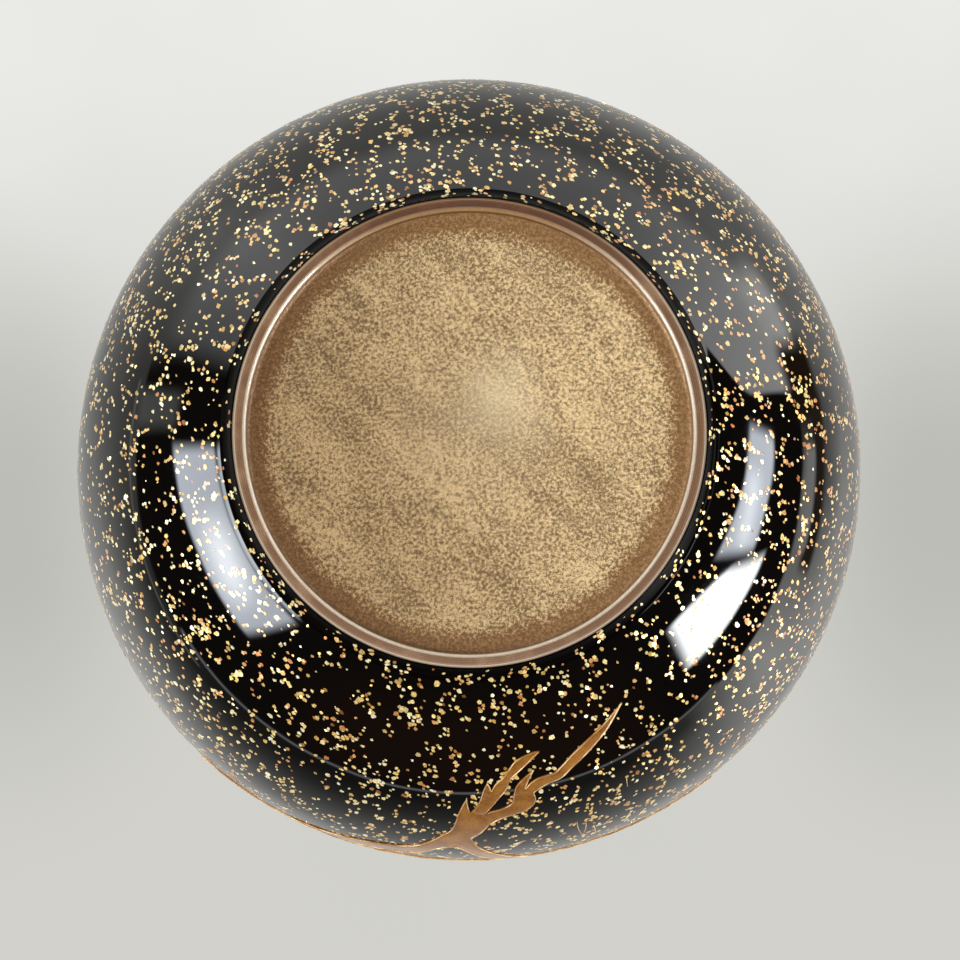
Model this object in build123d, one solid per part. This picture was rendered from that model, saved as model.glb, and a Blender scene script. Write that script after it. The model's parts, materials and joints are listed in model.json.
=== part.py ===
from build123d import *
import math
import os

# A globular lacquered bowl with an incurved mouth, standing on a slim turned foot.
# Millimetres, +Z up. The origin is the centre of the foot's resting plane.
# Every layer of the wall is an exact parallel offset of the outer lacquer surface,
# so an offset of 0 is that surface and negative offsets lie inside it.

# Belly: the widest circle, and the tangent arcs that leave it as (radius, turn in degrees).
BELLY_RADIUS = 100.0
BELLY_HEIGHT = 61.5
LOWER_ARCS = ((48.0, 28.0), (70.0, 22.0), (105.0, 15.2))
UPPER_ARCS = ((52.0, 30.0), (62.0, 22.0))

# Cove where the belly meets the foot: hollow arcs, then a short straight run to the foot's edge.
COVE_ARCS = ((1.0, 11.0), (9.5, 18.0))
COVE_RUN = 0.8

# Wall build-up, measured inwards from the outer surface.
LACQUER = 0.5
WALL = 5.4
INNER_LACQUER = 0.4
FLOOR_ARC = 57.0
FLOOR_TURN = 40.0

# Glued joint of the two core halves at the belly, and the cloth strip laid over it.
SPIGOT_RADIUS = 97.2
SPIGOT_HEIGHT = 4.0
CLOTH_THICKNESS = 0.4
CLOTH_HALF_TURN = 7.0

# Foot ring and the disc set into it.
LAND_OUTER = 50.8
LAND_INNER = 49.0
RING_BORE = 47.9
LIP_ROUND = 1.1
EDGE_BULGE = 0.06
RECESS_DEPTH = 2.2
DISC_RADIUS = 49.3
SEAT_HEIGHT = 4.9

# Mouth band: a rounded bead on a tongue turned on the core's end.
BAND_RADIUS = 3.2
TONGUE_WIDTH = 2.0
TONGUE_LENGTH = 1.8

# Raised gold: its clearance over the lacquer and its thickness.
RELIEF_GAP = 0.02
BRANCH_RELIEF = 0.30
BLOSSOM_RELIEF = 0.45

# The lower branches are drawn on a plane through the belly's centre that faces forwards and
# down by this angle. Its u runs to +X and its v towards the mouth.
DRAWING_TILT = 35.0
DRAWING_REACH = 130.0

# Outlines on that plane, each a list of stretches that share their end points.
LONG_BRANCH = (
    ((-33.1, -8.2), (-31.4, -4.9), (-29.6, -1.9), (-26.7, 1.6), (-24.6, 3.9), (-22.7, 5.8), (-20.4, 8.3),
     (-17.4, 9.5), (-14.4, 11.7)),
    ((-14.4, 11.7), (-14.9, 14.4), (-13.8, 16.8), (-11.0, 18.5), (-7.6, 20.0), (-4.6, 22.4)),
    ((-4.6, 22.4), (-3.3, 18.5)),
    ((-3.3, 18.5), (-4.6, 17.3), (-7.1, 16.4), (-9.4, 14.6), (-9.8, 12.0), (-10.4, 9.0), (-12.5, 6.3),
     (-14.2, 4.8)),
    ((-14.2, 4.8), (-13.3, 7.2), (-12.4, 10.1)),
    ((-12.4, 10.1), (-13.4, 8.6), (-15.0, 7.4), (-17.0, 6.8), (-18.7, 6.4), (-20.2, 4.8), (-22.1, 2.4),
     (-24.4, 0.1)),
    ((-24.4, 0.1), (-26.5, -1.8), (-28.8, -3.8), (-31.0, -6.2), (-33.1, -8.2)),
)
SHORT_BRANCH = (
    ((-3.3, 18.5), (-6.7, 12.5)),
    ((-6.7, 12.5), (-8.2, 10.0), (-9.1, 7.0), (-11.2, 4.6), (-15.3, 0.0)),
    ((-15.3, 0.0), (-13.6, 0.0), (-10.2, 1.7), (-8.7, 3.8), (-7.5, 6.1), (-5.7, 8.1), (-4.8, 10.2)),
    ((-4.8, 10.2), (-4.5, 8.9), (-3.9, 7.6)),
    ((-3.9, 7.6), (-3.0, 10.0), (-2.3, 13.1), (-1.4, 15.6), (-0.2, 17.6)),
    ((-0.2, 17.6), (-3.3, 18.5)),
)
FORK = (
    ((-3.3, 18.5), (-4.6, 22.4)),
    ((-4.6, 22.4), (-2.7, 26.1), (-0.5, 28.8)),
    ((-0.5, 28.8), (-2.0, 33.6), (-6.6, 39.9), (-11.3, 44.8), (-18.0, 51.0)),
    ((-18.0, 51.0), (-11.5, 52.5)),
    ((-11.5, 52.5), (-4.3, 44.3), (0.3, 37.8), (2.9, 33.8)),
    ((2.9, 33.8), (7.4, 35.6), (11.4, 39.7), (19.4, 42.4), (28.0, 44.3)),
    ((28.0, 44.3), (36.0, 43.5), (44.0, 41.0)),
    ((44.0, 41.0), (35.3, 39.9), (27.0, 38.2), (17.9, 36.6), (11.9, 33.9), (6.6, 27.8), (4.0, 24.1),
     (2.7, 18.3)),
    ((2.7, 18.3), (1.7, 15.1), (0.6, 12.3)),
    ((0.6, 12.3), (0.3, 15.2), (-0.2, 17.6)),
    ((-0.2, 17.6), (-3.3, 18.5)),
)

# The bough along the belly and the branches above it, drawn on the front elevation as
# (x, z), each a spine with the width of the stroke at every point of it.
BOUGH = (
    ((66.0, 51.5), 1.2),
    ((46.0, 54.0), 5.0),
    ((24.0, 56.0), 8.0),
    ((0.0, 57.5), 10.5),
    ((-22.0, 58.0), 12.0),
    ((-42.0, 56.0), 7.0),
    ((-60.0, 53.5), 1.2),
)
RISING_BRANCHES = (
    (((-12.0, 60.0), 9.0), ((-22.0, 70.0), 6.5), ((-24.0, 80.0), 5.0), ((-36.0, 90.0), 3.0),
     ((-40.0, 98.0), 1.0)),
    (((-23.0, 75.0), 4.0), ((-10.0, 83.0), 3.0), ((-6.0, 91.0), 1.8), ((3.0, 98.0), 0.8)),
    (((20.0, 58.0), 5.0), ((30.0, 68.0), 3.8), ((32.0, 77.0), 2.8), ((44.0, 86.0), 1.0)),
    (((-34.0, 58.0), 4.5), ((-50.0, 66.0), 3.4), ((-56.0, 75.0), 2.4), ((-64.0, 81.0), 0.9)),
)
# Strokes on the front are cut by bars that start this far ahead of the axis, clear of the far wall.
FRONT_START = 20.0

# Plum blossoms and buds on the upper half, each placed by its azimuth from the front and its turn
# up from the belly. A blossom's third number is its size, which its other measures are shares of.
BLOSSOMS = (
    (-34.0, 37.0, 4.6),
    (-13.0, 33.0, 4.2),
    (4.0, 46.0, 4.0),
    (22.0, 17.0, 4.4),
    (33.0, 29.0, 3.8),
    (-48.0, 25.0, 4.2),
    (-29.0, 12.0, 4.0),
    (8.0, 9.5, 3.6),
)
BUDS = ((-30.0, 44.0), (-20.0, 28.0), (-4.0, 41.0), (-42.0, 16.0), (15.0, 23.0), (28.0, 9.0), (-57.0, 20.0))
BUD_RADIUS = 1.7
PETALS = 5
PETAL_RADIUS = 0.42
PETAL_DISTANCE = 0.58
HEART_RADIUS = 0.3
FLOWER_REACH = 4.0

BODY = Pos(0, 0, BELLY_HEIGHT)


def arcs(start, heading, radii_and_turns, side):
    """Tangent arcs from start, turning to the given side (1 is to the left)."""
    edges = []
    for radius, turn in radii_and_turns:
        arc = JernArc(start, heading, radius, side * turn)
        edges.append(arc)
        start = arc @ 1
        heading = arc % 1
    return edges


def lower_belly(offset):
    radii_and_turns = [(radius + offset, turn) for radius, turn in LOWER_ARCS]
    return arcs((BELLY_RADIUS + offset, BELLY_HEIGHT), (0, -1), radii_and_turns, -1)


def cove(offset):
    belly_end = lower_belly(offset)[-1]
    radii_and_turns = [(radius - offset, turn) for radius, turn in COVE_ARCS]
    edges = arcs(belly_end @ 1, belly_end % 1, radii_and_turns, 1)
    run_end = edges[-1] @ 1 + (edges[-1] % 1) * COVE_RUN
    return edges + [Line(edges[-1] @ 1, run_end)]


def upper_belly(offset):
    radii_and_turns = [(radius + offset, turn) for radius, turn in UPPER_ARCS]
    return arcs((BELLY_RADIUS + offset, BELLY_HEIGHT), (0, 1), radii_and_turns, 1)


def inner_floor(depth):
    """The inside from the belly down to the axis, depth beneath the visible face."""
    lower = [(radius - WALL + depth, turn) for radius, turn in LOWER_ARCS[:2]]
    floor_arc = (FLOOR_ARC + depth, FLOOR_TURN)
    edges = arcs((BELLY_RADIUS - WALL + depth, BELLY_HEIGHT), (0, -1), lower + [floor_arc], -1)
    return edges + [Line(edges[-1] @ 1, (0, (edges[-1] @ 1).Y))]


def turned(edges):
    """A solid of revolution about Z from a closed profile of (radius, height)."""
    return revolve(Plane.XZ * make_face(edges), Axis.Z)


def layer(outer, inner):
    """The closed profile between two open runs of edges."""
    return outer + inner + [Line(outer[0] @ 0, inner[0] @ 0), Line(outer[-1] @ 1, inner[-1] @ 1)]


def mouth_plane():
    """Sketch plane at the wall's end: x points out through the wall, y on towards the mouth."""
    end = upper_belly(0)[-1]
    along = end % 1
    outward = Vector(along.Y, -along.X)
    middle = end @ 1 - outward * (WALL / 2)
    return Plane(origin=middle, x_dir=outward, z_dir=(0, 0, 1))


def mouth_tongue():
    lift = Pos(0, TONGUE_LENGTH / 2)
    tongue = mouth_plane() * (lift * Rectangle(TONGUE_WIDTH, TONGUE_LENGTH))
    return revolve(Plane.XZ * tongue, Axis.Z)


def mouth_band():
    half_plane = Pos(0, BAND_RADIUS) * Rectangle(2 * BAND_RADIUS, 2 * BAND_RADIUS)
    bead = mouth_plane() * (Circle(BAND_RADIUS) & half_plane)
    return revolve(Plane.XZ * bead, Axis.Z) - mouth_tongue()


def seam_cloth():
    """The strip of hemp cloth glued round the belly over the joint of the core."""
    outer_offset = -LACQUER
    inner_offset = outer_offset - CLOTH_THICKNESS
    sides = []
    for offset in (outer_offset, inner_offset):
        start = (BELLY_RADIUS + offset, BELLY_HEIGHT)
        down = JernArc(start, (0, -1), LOWER_ARCS[0][0] + offset, -CLOTH_HALF_TURN)
        up = JernArc(start, (0, 1), UPPER_ARCS[0][0] + offset, CLOTH_HALF_TURN)
        sides.append((down, up))
    (outer_down, outer_up), (inner_down, inner_up) = sides
    ends = [Line(outer_down @ 1, inner_down @ 1), Line(outer_up @ 1, inner_up @ 1)]
    return turned([outer_down, outer_up, inner_down, inner_up] + ends)


def core():
    """The bare wooden body, both halves together."""
    outside_down = lower_belly(-LACQUER)
    outside_up = upper_belly(-LACQUER)
    inside_down = inner_floor(INNER_LACQUER)
    inside_up = upper_belly(INNER_LACQUER - WALL)
    heel = outside_down[-1] @ 1
    socket = (heel.X, SEAT_HEIGHT)
    seat_centre = (0, SEAT_HEIGHT)
    underside = [Line(heel, socket), Line(socket, seat_centre), Line(seat_centre, inside_down[-1] @ 1)]
    end_face = [Line(outside_up[-1] @ 1, inside_up[-1] @ 1)]
    wall = turned(outside_down + outside_up + inside_down + inside_up + underside + end_face)
    return wall + mouth_tongue() - seam_cloth()


def upper_zone():
    """The space above the joint, less the spigot that stands up from the lower half."""
    upwards = (Align.CENTER, Align.CENTER, Align.MIN)
    above = BODY * Cylinder(2 * BELLY_RADIUS, 2 * BELLY_RADIUS, align=upwards)
    spigot = BODY * Cylinder(SPIGOT_RADIUS, SPIGOT_HEIGHT, align=upwards)
    return above - spigot


def foot_ring():
    side = cove(-LACQUER)
    heel = side[0] @ 0
    lip_inner = side[-1] @ 1
    lip_outer = cove(0)[-1] @ 1
    edge_middle = ((lip_outer.X + LAND_OUTER) / 2 + EDGE_BULGE, lip_outer.Y / 2 - EDGE_BULGE)
    bore_start = (RING_BORE, LIP_ROUND)
    lip_middle = (LAND_INNER - LIP_ROUND * math.sin(math.pi / 4), LIP_ROUND * (1 - math.cos(math.pi / 4)))
    outline = side + [
        Line(lip_inner, lip_outer),
        ThreePointArc(lip_outer, edge_middle, (LAND_OUTER, 0)),
        Line((LAND_OUTER, 0), (LAND_INNER, 0)),
        ThreePointArc((LAND_INNER, 0), lip_middle, bore_start),
        Polyline(
            bore_start,
            (RING_BORE, RECESS_DEPTH),
            (DISC_RADIUS, RECESS_DEPTH),
            (DISC_RADIUS, SEAT_HEIGHT),
            (heel.X, SEAT_HEIGHT),
            heel,
        ),
    ]
    return turned(outline)


def base_disc():
    thickness = SEAT_HEIGHT - RECESS_DEPTH
    bottom = (Align.CENTER, Align.CENTER, Align.MIN)
    return Pos(0, 0, RECESS_DEPTH) * Cylinder(DISC_RADIUS, thickness, align=bottom)


def lacquer_coat():
    outside = lower_belly(0) + cove(0)
    underneath = lower_belly(-LACQUER) + cove(-LACQUER)
    outside_up = upper_belly(0)
    underneath_up = upper_belly(-LACQUER)
    ends = [
        Line(outside[-1] @ 1, underneath[-1] @ 1),
        Line(outside_up[-1] @ 1, underneath_up[-1] @ 1),
    ]
    return turned(outside + underneath + outside_up + underneath_up + ends)


def inner_coat():
    face_down = inner_floor(0)
    back_down = inner_floor(INNER_LACQUER)
    face_up = upper_belly(-WALL)
    back_up = upper_belly(INNER_LACQUER - WALL)
    ends = [Line(face_down[-1] @ 1, back_down[-1] @ 1), Line(face_up[-1] @ 1, back_up[-1] @ 1)]
    return turned(face_down + back_down + face_up + back_up + ends)


def relief_shell(thickness):
    """The thin space over the lacquer that raised gold of this thickness fills."""
    low = layer(lower_belly(thickness), lower_belly(RELIEF_GAP))
    high = layer(upper_belly(thickness), upper_belly(RELIEF_GAP))
    return turned(low) + turned(high)


def outline_face(stretches):
    edges = []
    for points in stretches:
        if len(points) == 2:
            edges.append(Line(*points))
        else:
            edges.append(Spline(*points))
    return make_face(edges)


def stroke_face(spine):
    """A brush stroke: a smooth spine with its width given at every point."""
    points = [Vector(*point) for point, width in spine]
    widths = [width for point, width in spine]
    last = len(points) - 1
    left = []
    right = []
    for index in range(last + 1):
        along = (points[min(index + 1, last)] - points[max(index - 1, 0)]).normalized()
        across = Vector(-along.Y, along.X) * (widths[index] / 2)
        left.append(points[index] + across)
        right.append(points[index] - across)
    ends = [Line(left[0], right[0]), Line(left[-1], right[-1])]
    return make_face([Spline(*left), Spline(*right)] + ends)


def on_drawing_plane(face):
    tilt = math.radians(DRAWING_TILT)
    facing = (0, -math.cos(tilt), -math.sin(tilt))
    plane = Plane(origin=(0, 0, BELLY_HEIGHT), x_dir=(1, 0, 0), z_dir=facing)
    return extrude(plane * face, DRAWING_REACH)


def on_front(face):
    """A face drawn as (x, z) becomes a bar that runs forwards from just ahead of the axis."""
    return extrude(Pos(0, -FRONT_START, 0) * (Plane.XZ * face), BELLY_RADIUS)


def surface_plane(azimuth, turn):
    """The tangent plane on the upper belly, with its z axis pointing out."""
    radius, height = BELLY_RADIUS, BELLY_HEIGHT
    done = 0.0
    for arc_radius, arc_turn in UPPER_ARCS:
        step = min(turn - done, arc_turn)
        if step > 0:
            radius -= arc_radius * (math.cos(math.radians(done)) - math.cos(math.radians(done + step)))
            height += arc_radius * (math.sin(math.radians(done + step)) - math.sin(math.radians(done)))
            done += step
    around = math.radians(azimuth)
    tilt = math.radians(turn)
    side = math.sin(around)
    front = -math.cos(around)
    outward = (math.cos(tilt) * side, math.cos(tilt) * front, math.sin(tilt))
    return Plane(origin=(radius * side, radius * front, height), x_dir=(-front, side, 0), z_dir=outward)


def blossom_face(size):
    """Five round petals about a middle."""
    face = Circle(HEART_RADIUS * size)
    for index in range(PETALS):
        angle = math.radians(90 + 360 * index / PETALS)
        across = PETAL_DISTANCE * size * math.cos(angle)
        along = PETAL_DISTANCE * size * math.sin(angle)
        face += Pos(across, along) * Circle(PETAL_RADIUS * size)
    return face


def flower_bars():
    """Bars through the lacquer surface with the outlines of the blossoms and the buds."""
    bars = []
    for azimuth, turn, size in BLOSSOMS:
        bars.append(extrude(surface_plane(azimuth, turn) * blossom_face(size), FLOWER_REACH, both=True))
    for azimuth, turn in BUDS:
        bars.append(extrude(surface_plane(azimuth, turn) * Circle(BUD_RADIUS), FLOWER_REACH, both=True))
    return bars


def raised(bars, thickness):
    shell = relief_shell(thickness)
    solids = []
    for bar in bars:
        solids.extend((shell & bar).solids())
    return solids


def main():
    body = core()
    zone = upper_zone()
    flowers = flower_bars()
    bough_bar = on_front(stroke_face(BOUGH))
    rising_bars = [on_front(stroke_face(spine)) for spine in RISING_BRANCHES]
    joined = rising_bars[0]
    for bar in rising_bars[1:]:
        joined += bar
    for bar in flowers + [bough_bar]:
        joined -= bar
    bough_only = bough_bar
    for bar in flowers:
        bough_only -= bar
    fork_only = on_drawing_plane(outline_face(FORK)) - bough_bar

    nodes = {
        "lower_body": [body - zone],
        "upper_body": [body & zone],
        "seam_cloth": [seam_cloth()],
        "foot_ring": [foot_ring()],
        "base_disc": [base_disc()],
        "mouth_band": [mouth_band()],
        "lacquer_coat": [lacquer_coat()],
        "inner_coat": [inner_coat()],
        "gold_long_branch": raised([on_drawing_plane(outline_face(LONG_BRANCH))], BRANCH_RELIEF),
        "gold_short_branch": raised([on_drawing_plane(outline_face(SHORT_BRANCH))], BRANCH_RELIEF),
        "gold_fork": raised([fork_only], BRANCH_RELIEF),
        "gold_bough": raised([bough_only], BRANCH_RELIEF),
        "gold_rising_branches": raised([joined], BRANCH_RELIEF),
        "gold_blossoms": raised(flowers, BLOSSOM_RELIEF),
    }
    os.makedirs("parts", exist_ok=True)
    for name, shapes in nodes.items():
        solids = [solid for shape in shapes for solid in shape.solids()]
        export_step(Compound(children=solids), "parts/" + name + ".step")
        print(name, len(solids), [round(solid.volume, 1) for solid in solids])


main()
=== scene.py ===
import bisect
import json
import math
import random

import bmesh
import bpy
from mathutils import Matrix, Vector
from mathutils.geometry import delaunay_2d_cdt
from mathutils.kdtree import KDTree

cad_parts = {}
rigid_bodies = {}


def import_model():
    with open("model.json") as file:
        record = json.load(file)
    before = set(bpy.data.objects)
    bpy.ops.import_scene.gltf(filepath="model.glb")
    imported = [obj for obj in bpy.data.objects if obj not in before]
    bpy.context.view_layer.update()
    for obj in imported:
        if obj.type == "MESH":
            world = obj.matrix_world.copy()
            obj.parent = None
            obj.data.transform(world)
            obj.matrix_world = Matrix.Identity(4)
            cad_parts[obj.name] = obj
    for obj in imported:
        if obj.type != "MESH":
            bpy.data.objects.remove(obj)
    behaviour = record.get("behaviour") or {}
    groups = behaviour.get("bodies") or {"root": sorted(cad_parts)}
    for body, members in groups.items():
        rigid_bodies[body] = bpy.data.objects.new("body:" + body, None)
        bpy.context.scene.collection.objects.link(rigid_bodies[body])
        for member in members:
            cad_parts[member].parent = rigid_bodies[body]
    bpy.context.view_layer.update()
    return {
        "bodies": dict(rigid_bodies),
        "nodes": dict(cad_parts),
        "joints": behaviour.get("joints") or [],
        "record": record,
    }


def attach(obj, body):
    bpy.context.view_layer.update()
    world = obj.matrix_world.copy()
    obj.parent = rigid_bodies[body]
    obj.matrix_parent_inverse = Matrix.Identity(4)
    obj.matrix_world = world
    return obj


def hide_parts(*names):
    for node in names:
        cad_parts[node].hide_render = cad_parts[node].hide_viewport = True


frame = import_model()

# A globular black lacquer bowl seen from underneath, with sprinkled gold flakes, raised gold
# branches and a gold-ground disc inside its foot ring.
# Lengths are in millimetres and angles in degrees, as in the CAD model, and add_piece() turns them
# into Blender's metres. Paint functions, the stage, the camera and the lights use metres.
MM = 0.001
BODY = "root"

# ---- dimensions from the CAD model

BELLY_RADIUS = 100.0
BELLY_HEIGHT = 61.5
LOWER_ARCS = ((48.0, 28.0), (70.0, 22.0), (105.0, 15.2))
UPPER_ARCS = ((52.0, 30.0), (62.0, 22.0))
COVE_ARCS = ((1.0, 11.0), (9.5, 18.0))
COVE_RUN = 0.8
LACQUER = 0.5
WALL = 5.4
INNER_LACQUER = 0.4
FLOOR_ARC = 57.0
FLOOR_TURN = 40.0
LAND_OUTER = 50.8
LAND_INNER = 49.0
RING_BORE = 47.9
LIP_ROUND = 1.1
RECESS_DEPTH = 2.2
DISC_RADIUS = 49.3
SEAT_HEIGHT = 4.9
LACQUERED_FROM = 50.85
CREASE_END = 54.4
BAND_RADIUS = 3.2
BRANCH_RELIEF = 0.30
BLOSSOM_RELIEF = 0.45
DRAWING_TILT = 35.0

# Outlines on the tilted drawing plane, as stretches that share their end points.
LONG_BRANCH = (
    ((-33.1, -8.2), (-31.4, -4.9), (-29.6, -1.9), (-26.7, 1.6), (-24.6, 3.9), (-22.7, 5.8), (-20.4, 8.3),
     (-17.4, 9.5), (-14.4, 11.7)),
    ((-14.4, 11.7), (-14.9, 14.4), (-13.8, 16.8), (-11.0, 18.5), (-7.6, 20.0), (-4.6, 22.4)),
    ((-4.6, 22.4), (-3.3, 18.5)),
    ((-3.3, 18.5), (-4.6, 17.3), (-7.1, 16.4), (-9.4, 14.6), (-9.8, 12.0), (-10.4, 9.0), (-12.5, 6.3),
     (-14.2, 4.8)),
    ((-14.2, 4.8), (-13.3, 7.2), (-12.4, 10.1)),
    ((-12.4, 10.1), (-13.4, 8.6), (-15.0, 7.4), (-17.0, 6.8), (-18.7, 6.4), (-20.2, 4.8), (-22.1, 2.4),
     (-24.4, 0.1)),
    ((-24.4, 0.1), (-26.5, -1.8), (-28.8, -3.8), (-31.0, -6.2), (-33.1, -8.2)),
)
SHORT_BRANCH = (
    ((-3.3, 18.5), (-6.7, 12.5)),
    ((-6.7, 12.5), (-8.2, 10.0), (-9.1, 7.0), (-11.2, 4.6), (-15.3, 0.0)),
    ((-15.3, 0.0), (-13.6, 0.0), (-10.2, 1.7), (-8.7, 3.8), (-7.5, 6.1), (-5.7, 8.1), (-4.8, 10.2)),
    ((-4.8, 10.2), (-4.5, 8.9), (-3.9, 7.6)),
    ((-3.9, 7.6), (-3.0, 10.0), (-2.3, 13.1), (-1.4, 15.6), (-0.2, 17.6)),
    ((-0.2, 17.6), (-3.3, 18.5)),
)
FORK = (
    ((-3.3, 18.5), (-4.6, 22.4)),
    ((-4.6, 22.4), (-2.7, 26.1), (-0.5, 28.8)),
    ((-0.5, 28.8), (-2.0, 33.6), (-6.6, 39.9), (-11.3, 44.8), (-18.0, 51.0)),
    ((-18.0, 51.0), (-11.5, 52.5)),
    ((-11.5, 52.5), (-4.3, 44.3), (0.3, 37.8), (2.9, 33.8)),
    ((2.9, 33.8), (7.4, 35.6), (11.4, 39.7), (19.4, 42.4), (28.0, 44.3)),
    ((28.0, 44.3), (36.0, 43.5), (44.0, 41.0)),
    ((44.0, 41.0), (35.3, 39.9), (27.0, 38.2), (17.9, 36.6), (11.9, 33.9), (6.6, 27.8), (4.0, 24.1),
     (2.7, 18.3)),
    ((2.7, 18.3), (1.7, 15.1), (0.6, 12.3)),
    ((0.6, 12.3), (0.3, 15.2), (-0.2, 17.6)),
    ((-0.2, 17.6), (-3.3, 18.5)),
)

# Strokes on the front elevation: (x, z) and the width there.
BOUGH = (
    ((66.0, 51.5), 1.2), ((46.0, 54.0), 5.0), ((24.0, 56.0), 8.0), ((0.0, 57.5), 10.5),
    ((-22.0, 58.0), 12.0), ((-42.0, 56.0), 7.0), ((-60.0, 53.5), 1.2),
)
RISING_BRANCHES = (
    (((-12.0, 60.0), 9.0), ((-22.0, 70.0), 6.5), ((-24.0, 80.0), 5.0), ((-36.0, 90.0), 3.0),
     ((-40.0, 98.0), 1.0)),
    (((-23.0, 75.0), 4.0), ((-10.0, 83.0), 3.0), ((-6.0, 91.0), 1.8), ((3.0, 98.0), 0.8)),
    (((20.0, 58.0), 5.0), ((30.0, 68.0), 3.8), ((32.0, 77.0), 2.8), ((44.0, 86.0), 1.0)),
    (((-34.0, 58.0), 4.5), ((-50.0, 66.0), 3.4), ((-56.0, 75.0), 2.4), ((-64.0, 81.0), 0.9)),
)

# Blossoms and buds: azimuth from the front, turn up from the belly, and a blossom's petal size.
BLOSSOMS = (
    (-34.0, 37.0, 4.6), (-13.0, 33.0, 4.2), (4.0, 46.0, 4.0), (22.0, 17.0, 4.4),
    (33.0, 29.0, 3.8), (-48.0, 25.0, 4.2), (-29.0, 12.0, 4.0), (8.0, 9.5, 3.6),
)
BUDS = ((-30.0, 44.0), (-20.0, 28.0), (-4.0, 41.0), (-42.0, 16.0), (15.0, 23.0), (28.0, 9.0), (-57.0, 20.0))
BUD_RADIUS = 1.7
PETALS = 5
PETAL_RADIUS = 0.42
PETAL_DISTANCE = 0.58

# ---- details this script adds

LATHE_SEGMENTS = 352
HALVINGS = 40
OUTER_STEP = 1.0
INNER_STEP = 1.4
RING_STEP = 0.8
HIDDEN_STEP = 4.0
INNER_SEGMENTS = 256
RING_SEGMENTS = 480

EDGE_SOFTNESS = 0.16
LATHE_LINE_DEPTH = 0.016
LATHE_LINE_PITCH = 0.3
LAND_STEPS = 36
BAND_STEPS = 28
DISC_FILLET = 0.7
DISC_RINGS = 100
DISC_LIFT = 0.02
SWELL_SEED = 5
SWELL_COUNT = 14
SWELL_PITCH = (14.0, 42.0)
SWELL_STEEPNESS = 0.0011

FLAKE_COUNT = 19500
FLAKE_RADIUS = 0.48
FLAKE_SPREAD = 0.27
FLAKE_CLUMP_CHANCE = 0.40
FLAKE_CLUMPS = (2, 2, 2, 3, 3, 4, 5)
FLAKE_CORNERS = (4, 5, 5, 6, 6)
PALE_BELOW = 0.42
GOLD_BELOW = 0.80
# More copper, duller flakes towards -X: painted shade on that side.
COPPER_SHADE_DRIFT = 0.34
FLAKE_CLUMP_REACH = 0.9
FLAKE_CLUMP_TURN = 0.010
FLAKE_LIKENESS = 0.6
FLAKE_TONE_SPREAD = 0.26
# Flakes are darkened more the higher they sit on the wall: painted shade.
SHADE_FROM_HEIGHT = 20.0
SHADE_DEEPENS_OVER = 40.0
PAINTED_SHADE_DARKENING = 0.2
FLAKE_SINK = 0.06
FLAKE_RIM = 0.03
FLAKE_CROWN = 0.04
FLAKE_TILT = 1.0
FLAKE_SEED = 11
FLAKE_LEAN = 0.55

RIM_WIDTH = 0.30
RIM_HEIGHT = 0.12
RIM_SEED = 21
RIM_LIT_FROM = (-0.71, 0.71)
BRUSH_PRESSURE = (0.45, 1.15)
BRUSH_UNEVENNESS = 0.10
RIDGE_SIDES = 6
SEAM_REACH = 0.25
STAMEN_SEED = 3
STAMENS = 11
STAMEN_WIDTHS = (0.16, 0.14, 0.14, 0.22, 0.34)
RELIEF_GRID = 0.8
RELIEF_SHOULDER = 0.7
RELIEF_SINK = 0.06
OUTLINE_STEP = 0.45

# Fine brushed needles near the bough: (azimuth, turn down from the belly, heading, count, length).
NEEDLE_SPRAYS = (
    (-16.0, 34.0, 86.0, 1, 13.0),
    (-17.2, 33.0, 89.0, 1, 10.0),
    (-18.2, 30.0, 92.0, 1, 7.0),
    (-25.0, 43.0, 84.0, 1, 5.0),
    (-27.0, 12.0, 110.0, 5, 4.5),
    (33.5, 22.0, 110.0, 4, 7.0),
    (36.5, 27.0, 100.0, 5, 9.0),
    (40.0, 20.0, 80.0, 6, 8.0),
    (47.0, 15.0, 100.0, 4, 6.0),
    (-44.0, 24.0, 78.0, 4, 6.0),
)
NEEDLE_WIDTH = 0.2
NEEDLE_SEED = 8
NEEDLE_RISE = 0.10
NEEDLE_STEPS = 14
NEEDLE_FAN = 30.0


# ---- node helpers

class Value:
    """An output of a node. Arithmetic with it adds nodes to its tree."""

    def __init__(self, tree, socket):
        self.tree, self.socket = tree, socket

    def __add__(self, other):
        return calc("ADD", self, other)

    def __sub__(self, other):
        return calc("SUBTRACT", self, other)

    def __rsub__(self, other):
        return calc("SUBTRACT", other, self)

    def __mul__(self, other):
        return calc("MULTIPLY", self, other)

    def __abs__(self):
        return calc("ABSOLUTE", self)

    def maximum(self, other):
        return calc("MAXIMUM", self, other)

    def remap(self, low, high, to_low=0.0, to_high=1.0, smooth=True):
        """The value taken from low..high to to_low..to_high, eased at both ends when smooth."""
        inputs = {"Value": self, "From Min": low, "From Max": high, "To Min": to_low, "To Max": to_high}
        return put(self.tree, "ShaderNodeMapRange", inputs, "Result",
                   interpolation_type="SMOOTHSTEP" if smooth else "LINEAR")

    def vector(self, operation, other=(0.0, 0.0, 0.0), output=0):
        return put(self.tree, "ShaderNodeVectorMath", {0: self, 1: other}, output, operation=operation)

    def scaled(self, factor):
        return put(self.tree, "ShaderNodeVectorMath", {0: self, "Scale": factor}, operation="SCALE")


def fill(socket, value):
    """Links a value to a node's socket, or sets a constant there."""
    if isinstance(value, Value):
        value.tree.links.new(value.socket, socket)
    else:
        socket.default_value = (*value, 1.0) if socket.type == "RGBA" else value


def put(tree, kind, inputs=None, output=0, **settings):
    """One output of a new node with its settings and its inputs."""
    node = tree.nodes.new(kind)
    for name, value in settings.items():
        setattr(node, name, value)
    for name, value in (inputs or {}).items():
        fill(node.inputs[name], value)
    return Value(tree, node.outputs[output]) if node.outputs else None


def tree_of(*operands):
    return next(operand.tree for operand in operands if isinstance(operand, Value))


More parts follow.
